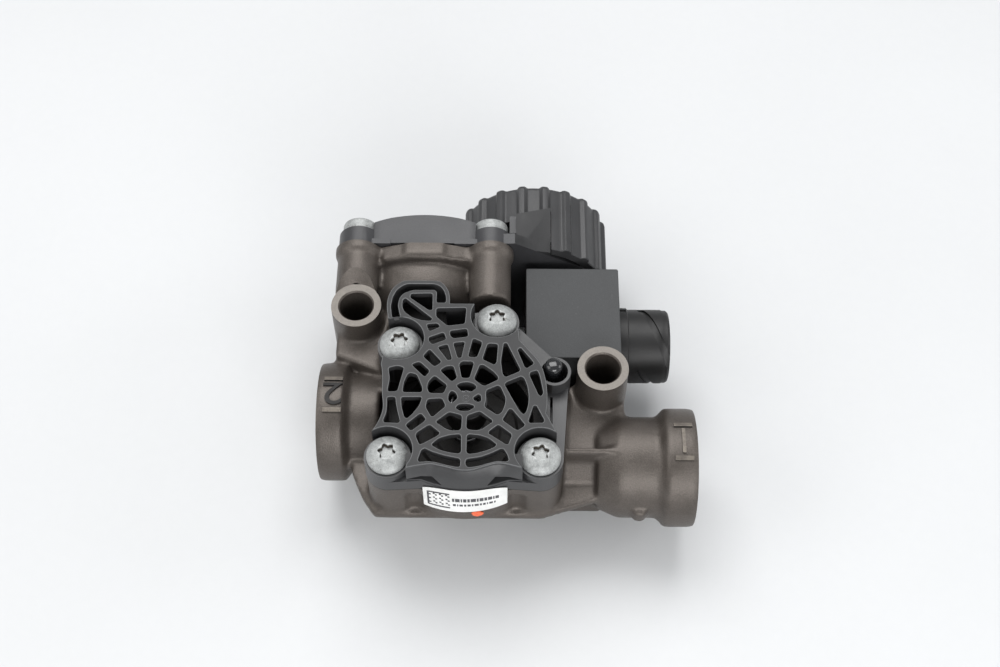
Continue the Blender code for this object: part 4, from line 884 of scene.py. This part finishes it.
def coil_cap():
    half = math.degrees(1.75 / CAP_R)
    rib = [(-1.25, 0.0), (-1.0, 0.25), (-0.8, 0.85), (-0.5, 1.3), (0.0, 1.4), (0.5, 1.3),
           (0.8, 0.85), (1.0, 0.25), (1.25, 0.0), (1.9, 0.0), (2.6, 0.0), (3.3, 0.0)]

    def ribbed(inset):
        return [polar(CAP, CAP_R + reach - inset,
                      math.radians(FIRST_RIB + k * 360.0 / CAP_RIBS + half * lean))
                for k in range(CAP_RIBS) for lean, reach in rib]

    insets = (0.3, 0.0, 0.0, 0.25, 0.8, 1.9)
    levels = (COVER_Y + 0.65, 66.9, 92.2, 93.3, 93.9, CAP_BACK_Y)
    cap = loft("cap", [ribbed(inset) for inset in insets], levels, "Y")
    wing = prism("wing_clear", shrunk(wing_outline()[::-1], -0.12), 60.0, WING_Y + 0.08, "Y")
    below = ((-8, -70), (60, -70), (60, -25), (-8, -25))
    add(wing, prism("below", below, 60.0, WING_Y + 0.08, "Y"))
    cut(cap, wing)
    cut(cap, domed_block("clear", 60.0, 0.3, 64))
    notch = [(16.1, 60.0), (29.0, 60.0), (29.0, 83.3), (16.1, 80.5)]
    cut(cap, prism("gusset_clear", notch, -9.7, 0.0))
    cut(cap, box("gusset_root", (16.1, 29.0), (60.0, 70.6), (-13.5, 0.0)))
    cut(cap, *[rod("head_room", "Y", LOBES[k], LOBE_R + 0.3, 60.0, 79.0, 48)
               for k in ("upper_right", "lower_right")])
    room = rod("coil_room", "Y", CAP, 23.2, 60.0, 92.4, 64)
    cut(room, box("between", (-5.0, 12.3), (50.0, 100.0), (-70.0, 0.0)))
    cut(room, *[rod("wall", "Y", LOBES[k], LOBE_R + 1.6, 50.0, 80.5, 40)
                for k in ("upper_right", "lower_right")])
    cut(cap, room)
    return bevel(cap, 0.18, 45)


def terminal_block():
    plan = rounded([(20.0, 31.0), (26.0, 24.5), (53.0, 24.5), (53.0, 62.0), (20.0, 62.0)], 0.7, 4)
    top = shrunk(plan, 0.45)
    block = loft("block", (top, plan, plan, shrunk(plan, 0.12), top),
                 (-54.0, -53.4, -14.5, -14.15, -14.0))
    add(block, box("neck", (24.0, 44.0), (58.0, 65.6), (-48.0, -20.0)))
    room = [(22.4, 32.0), (27.0, 27.0), (36.0, 27.0), (36.0, 29.0), (50.5, 29.0), (50.5, 59.6),
            (22.4, 59.6)]
    cut(block, prism("room", room, -51.6, -16.4))
    cut(block, box("way", (26.2, 41.8), (50.0, 70.0), (-45.8, -22.2)))
    cut(block, rod("notch", "Z", BOSSES[1], BOSS_R + 1.3, -70.0, 0.0, 64))
    cut(block, rod("spigot", "X", PLUG, 9.0, 48.0, 56.0, 40))
    return block


def socket():
    r = PLUG_R
    profile = [(0, 50.8), (8.6, 50.8), (8.6, 53.1), (r - 0.3, 53.1), (r, 53.4), (r, 56.2),
               (r - 0.25, 56.5), (r - 0.55, 56.5), (r - 0.55, PLUG_X - 2.6),
               (r - 0.8, PLUG_X - 2.2), (r - 0.8, PLUG_X - 0.9), (r - 1.3, PLUG_X - 0.2),
               (r - 1.9, PLUG_X), (11.2, PLUG_X), (10.8, PLUG_X - 0.5), (10.8, 57.0), (0, 57.0)]
    shell = turned("socket", "X", PLUG, profile, 96)
    bands, steps = [], 20
    for start in (0.0, 120.0, 240.0):
        rings = []
        for i in range(steps + 1):
            t = i / steps
            near, far = math.radians(start + 144 - 104 * t), math.radians(start + 173 - 133 * t)
            near_x, far_x = PLUG_X + 0.4 - 9.7 * t, PLUG_X + 0.4 - 12.2 * t
            rings.append([(x, *polar(PLUG, rr, turn)) for turn, x, rr in (
                (near, near_x, r - 1.2), (near, near_x, r + 1.0),
                (far, far_x, r + 1.0), (far, far_x, r - 1.2))])
        bands.append(skin("groove", rings))
    cut(shell, *bands)
    for turn, low, high in ((33.0, 60.0, 63.0), (212.0, 60.0, 63.4), (55.0, 52.9, 56.0)):
        cut(shell, rod("notch", "X", polar(PLUG, r, math.radians(turn)), 1.5, low, high, 24))
    for turn in (90.0, 210.0, 330.0):
        cut(shell, rod("pin", "X", polar(PLUG, 4.6, math.radians(turn)), 1.35, 45.0, 60.0, 20))
    return bevel(shell, 0.15, 40)


def coil(name, axis, centre, radius, wire_r, low, high, turns):
    """A compression spring whose end turns lie flat."""
    per_turn, sides = 28, 10
    steps = turns * per_turn
    flat = 0.75 / turns
    rings = []
    for i in range(steps + 1):
        t = i / steps
        rise = 0.0 if t < flat else 1.0 if t > 1 - flat else (t - flat) / (1 - 2 * flat)
        edge = min(t, flat) / flat * 0.5 + (1 - min(1 - t, flat) / flat) * 0.5
        level = low + wire_r + (high - low - 2 * wire_r) * (0.9 * rise + 0.1 * edge)
        section = [polar((radius, level), wire_r, lean) for lean in circle(sides)]
        rings.append([along(axis, *polar(centre, r, 2 * math.pi * i / per_turn), h)
                      for r, h in section])
    return skin(name, rings)


# ---- small parts
def sticker():
    """Curved paper label, a little askew, with a plain code patch and two rows of bars."""
    half_wide, half_tall, back, front, ink_back, ink_front = 14.3, 5.4, 31.66, 31.8, 31.79, 31.84

    def at(u, v, radius):
        """u along the label and v up it, both from its centre."""
        top = -8.5 - 3.4 * (u / half_wide) ** 4
        low = -23.7 + 0.05 * u
        z = low + (top - low) * (v + half_tall) / (2 * half_tall)
        return (*polar((0, BULGE_Y), radius, math.radians(-90.0) + u / front), z)

    def patch(u0, u1, v0, v1, low, high, steps):
        section = ((v0, low), (v1, low), (v1, high), (v0, high))
        return skin("patch", [[at(u0 + (u1 - u0) * i / steps, v, r) for v, r in section]
                              for i in range(steps + 1)])

    paper = patch(-half_wide, half_wide, -half_tall, half_tall, back, front, 32)
    prints = []

    def ink(u, v, wide, tall):
        prints.append(patch(u, u + wide, v, v + tall, ink_back, ink_front, 1))

    cells, cell_wide, cell_tall, fill = 11, 0.71, 0.69, 0.96
    for row in range(cells):
        for col in range(cells):
            if row in (0, cells - 1) or col == 0 or (row * 7 + col * 5 + row * col) % 3 == 0:
                ink(-12.8 + col * cell_wide, -3.9 + row * cell_tall, cell_wide * fill,
                    cell_tall * fill)
    widths = (0.7, 1.5, 0.5, 1.1, 0.8, 1.7, 0.6, 1.3, 0.9, 1.4, 0.5, 1.2)
    for u, v, tall, bars, gap in ((-4.2, -0.2, 1.6, widths, 0.3),
                                  (-4.0, -2.4, 1.0, [w * 0.8 for w in widths[::-1]], 0.4)):
        for wide in bars:
            ink(u, v, wide, tall)
            u += wide + gap
    for ob in prints:
        paint(ob, 1, lambda c, n: True)
    return join([paper] + prints)


def paint_dab():
    def ring(r, y):
        wobble = [(t, r * (1.0 + 0.10 * math.sin(3 * t + 0.6) + 0.05 * math.sin(7 * t)))
                  for t in circle(40)]
        return [(3.9 + 1.9 * w * math.cos(t), y, -25.3 + 1.6 * w * math.sin(t) + 0.05 * math.cos(t))
                for t, w in wobble]
    return skin("dab", [ring(1.0, -29.3), ring(1.0, -29.72), ring(0.7, -29.8)])


# ---- assembly
place(casting(), "casting", ("casting", "machined", "marks"), "valve_body", 40)
place(grille(), "grille", ("grille", "marks", "edge", "web"), "exhaust_cover", 35)
place(gasket(), "gasket_sheet", ("gasket",), "exhaust_cover_gasket", 30)
for spin, (key, centre) in zip((8, 30, 52, 17), SCREWS.items()):
    place(screw("screw", "Z", centre, LUG_TOP_Z + 0.03, -27.5, PAN, spin), "pan_screw_" + key,
          ("screw", "drive"), "grille_screw_" + key, 30)
for spin, (key, centre) in zip((25, 3, 40, 12), LOBES.items()):
    place(screw("bolt", "Y", centre, LUG_BACK_Y + 0.03, 52.0, BOLT, spin), "flange_bolt_" + key,
          ("screw", "drive"), "cover_bolt_" + key, 30)
place(rear_cover(), "rear_cover", ("cover", "rubber"), "solenoid_cover", 30)
place(coil_cap(), "coil_cap", ("cap",), "ribbed_cap", 30)
place(terminal_block(), "block", ("block",), "terminal_block", 30)
place(socket(), "plug_socket", ("socket",), "connector_shell", 35)
BREATHER = [(0, -11.4), (3.6, -11.4), (3.6, -8.2), (3.45, -7.5), (2.9, -6.4), (2.5, -5.0),
            (2.45, -3.9), (2.75, -2.9), (3.0, -1.9), (3.05, -1.0), (2.85, -0.1), (2.3, 0.65),
            (1.4, 1.08), (0, 1.2)]
place(turned("breather", "Z", (28.9, 12.9), BREATHER, 48), "breather", ("plug",),
      "breather_plug", 50)
place(sticker(), "sticker", ("paper", "ink"), "label", 30)
place(paint_dab(), "paint_dab", ("orange",), "paint_mark", 40)

SPRINGS = (
    ("exhaust_spring", "Z", (0, 0), 4.9, 0.55, -22.1, -2.65, 6, "exhaust_diaphragm_lift", 0.87),
    ("hold_spring", "Y", HOUSING, 4.9, 0.55, 55.5, 80.5, 7, "hold_diaphragm_lift", 0.895),
    ("hold_armature_spring", "Y", (20.2, PORT_Z), 1.35, 0.3, 77.4, 82.0, 4,
     "hold_armature_stroke", 0.77),
    ("exhaust_armature_spring", "Y", (36.2, PORT_Z), 1.35, 0.3, 77.4, 82.0, 4,
     "exhaust_armature_stroke", 0.77),
)
for name, axis, centre, radius, wire_r, low, high, turns, joint, keep in SPRINGS:
    ob = place(coil(name, axis, centre, radius, wire_r, low, high, turns), name + "_wire",
               ("spring",), name, 60)
    end = (Vector(along(axis, *centre, high)) + OFFSET) * MM
    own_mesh(ob)

KEPT = {
    "rubber": ("solenoid_cover_seal", "connector_seal"),
    "membrane": ("exhaust_diaphragm", "hold_diaphragm"),
    "brass": ("connector_pin_1", "connector_pin_2", "connector_pin_3"),
    "board": ("terminal_board",),
    "core": ("coil_frame", "hold_core", "exhaust_core", "hold_armature", "exhaust_armature"),
    "bobbin": ("hold_bobbin", "exhaust_bobbin"),
    "copper": ("hold_coil", "exhaust_coil"),
}
for key, names in KEPT.items():
    for name in names:
        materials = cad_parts[name].data.materials
        materials.clear()
        materials.append(MATS[key])

# ---- stage, light, camera
floor = prism("floor", ((-1.6, -1.2), (1.6, -1.2), (1.6, 1.8), (-1.6, 1.8)), -0.012, -0.0005)
floor.data.materials.append(surface("paper_floor", (202, 203, 204), (205, 206, 207), (0.7, 0.8),
                                    0.0, 0.20, 0.004, 0.004, 0.02))

world = bpy.data.worlds.new("studio")
world.use_nodes = True
world.node_tree.nodes["Background"].inputs["Color"].default_value = (0.96, 0.98, 1.0, 1.0)
world.node_tree.nodes["Background"].inputs["Strength"].default_value = 0.50
bpy.context.scene.world = world


def lamp(name, position, size, power, colour=(1, 1, 1)):
    """An area light aimed at the middle of the valve."""
    light = bpy.data.lights.new(name, "AREA")
    light.shape = "RECTANGLE"
    light.size, light.size_y = size
    light.energy = power
    light.color = colour
    ob = linked(name, light)
    ob.location = position
    aim = Vector((0, 0, 0.03)) - Vector(position)
    ob.rotation_euler = aim.to_track_quat("-Z", "Y").to_euler()


lamp("key", (-0.08, 0.46, 1.08), (1.0, 0.7), 11.0)
lamp("fill", (-0.65, -0.15, 0.55), (0.5, 0.5), 1.6, (1.0, 0.99, 0.97))
lamp("front", (0.15, -0.75, 0.40), (0.6, 0.4), 4.4)
lamp("side", (0.7, 0.05, 0.35), (0.3, 0.4), 1.0)

camera = bpy.data.cameras.new("camera")
camera.lens = 52.2
camera.sensor_width = 36.0
camera_ob = linked("camera", camera)
camera_ob.location = (0.00020, -0.26867, 0.47534)
camera_ob.rotation_euler = (math.radians(32.5), 0.0, math.radians(0.5))
bpy.context.scene.camera = camera_ob
bpy.context.scene.view_settings.view_transform = "Standard"
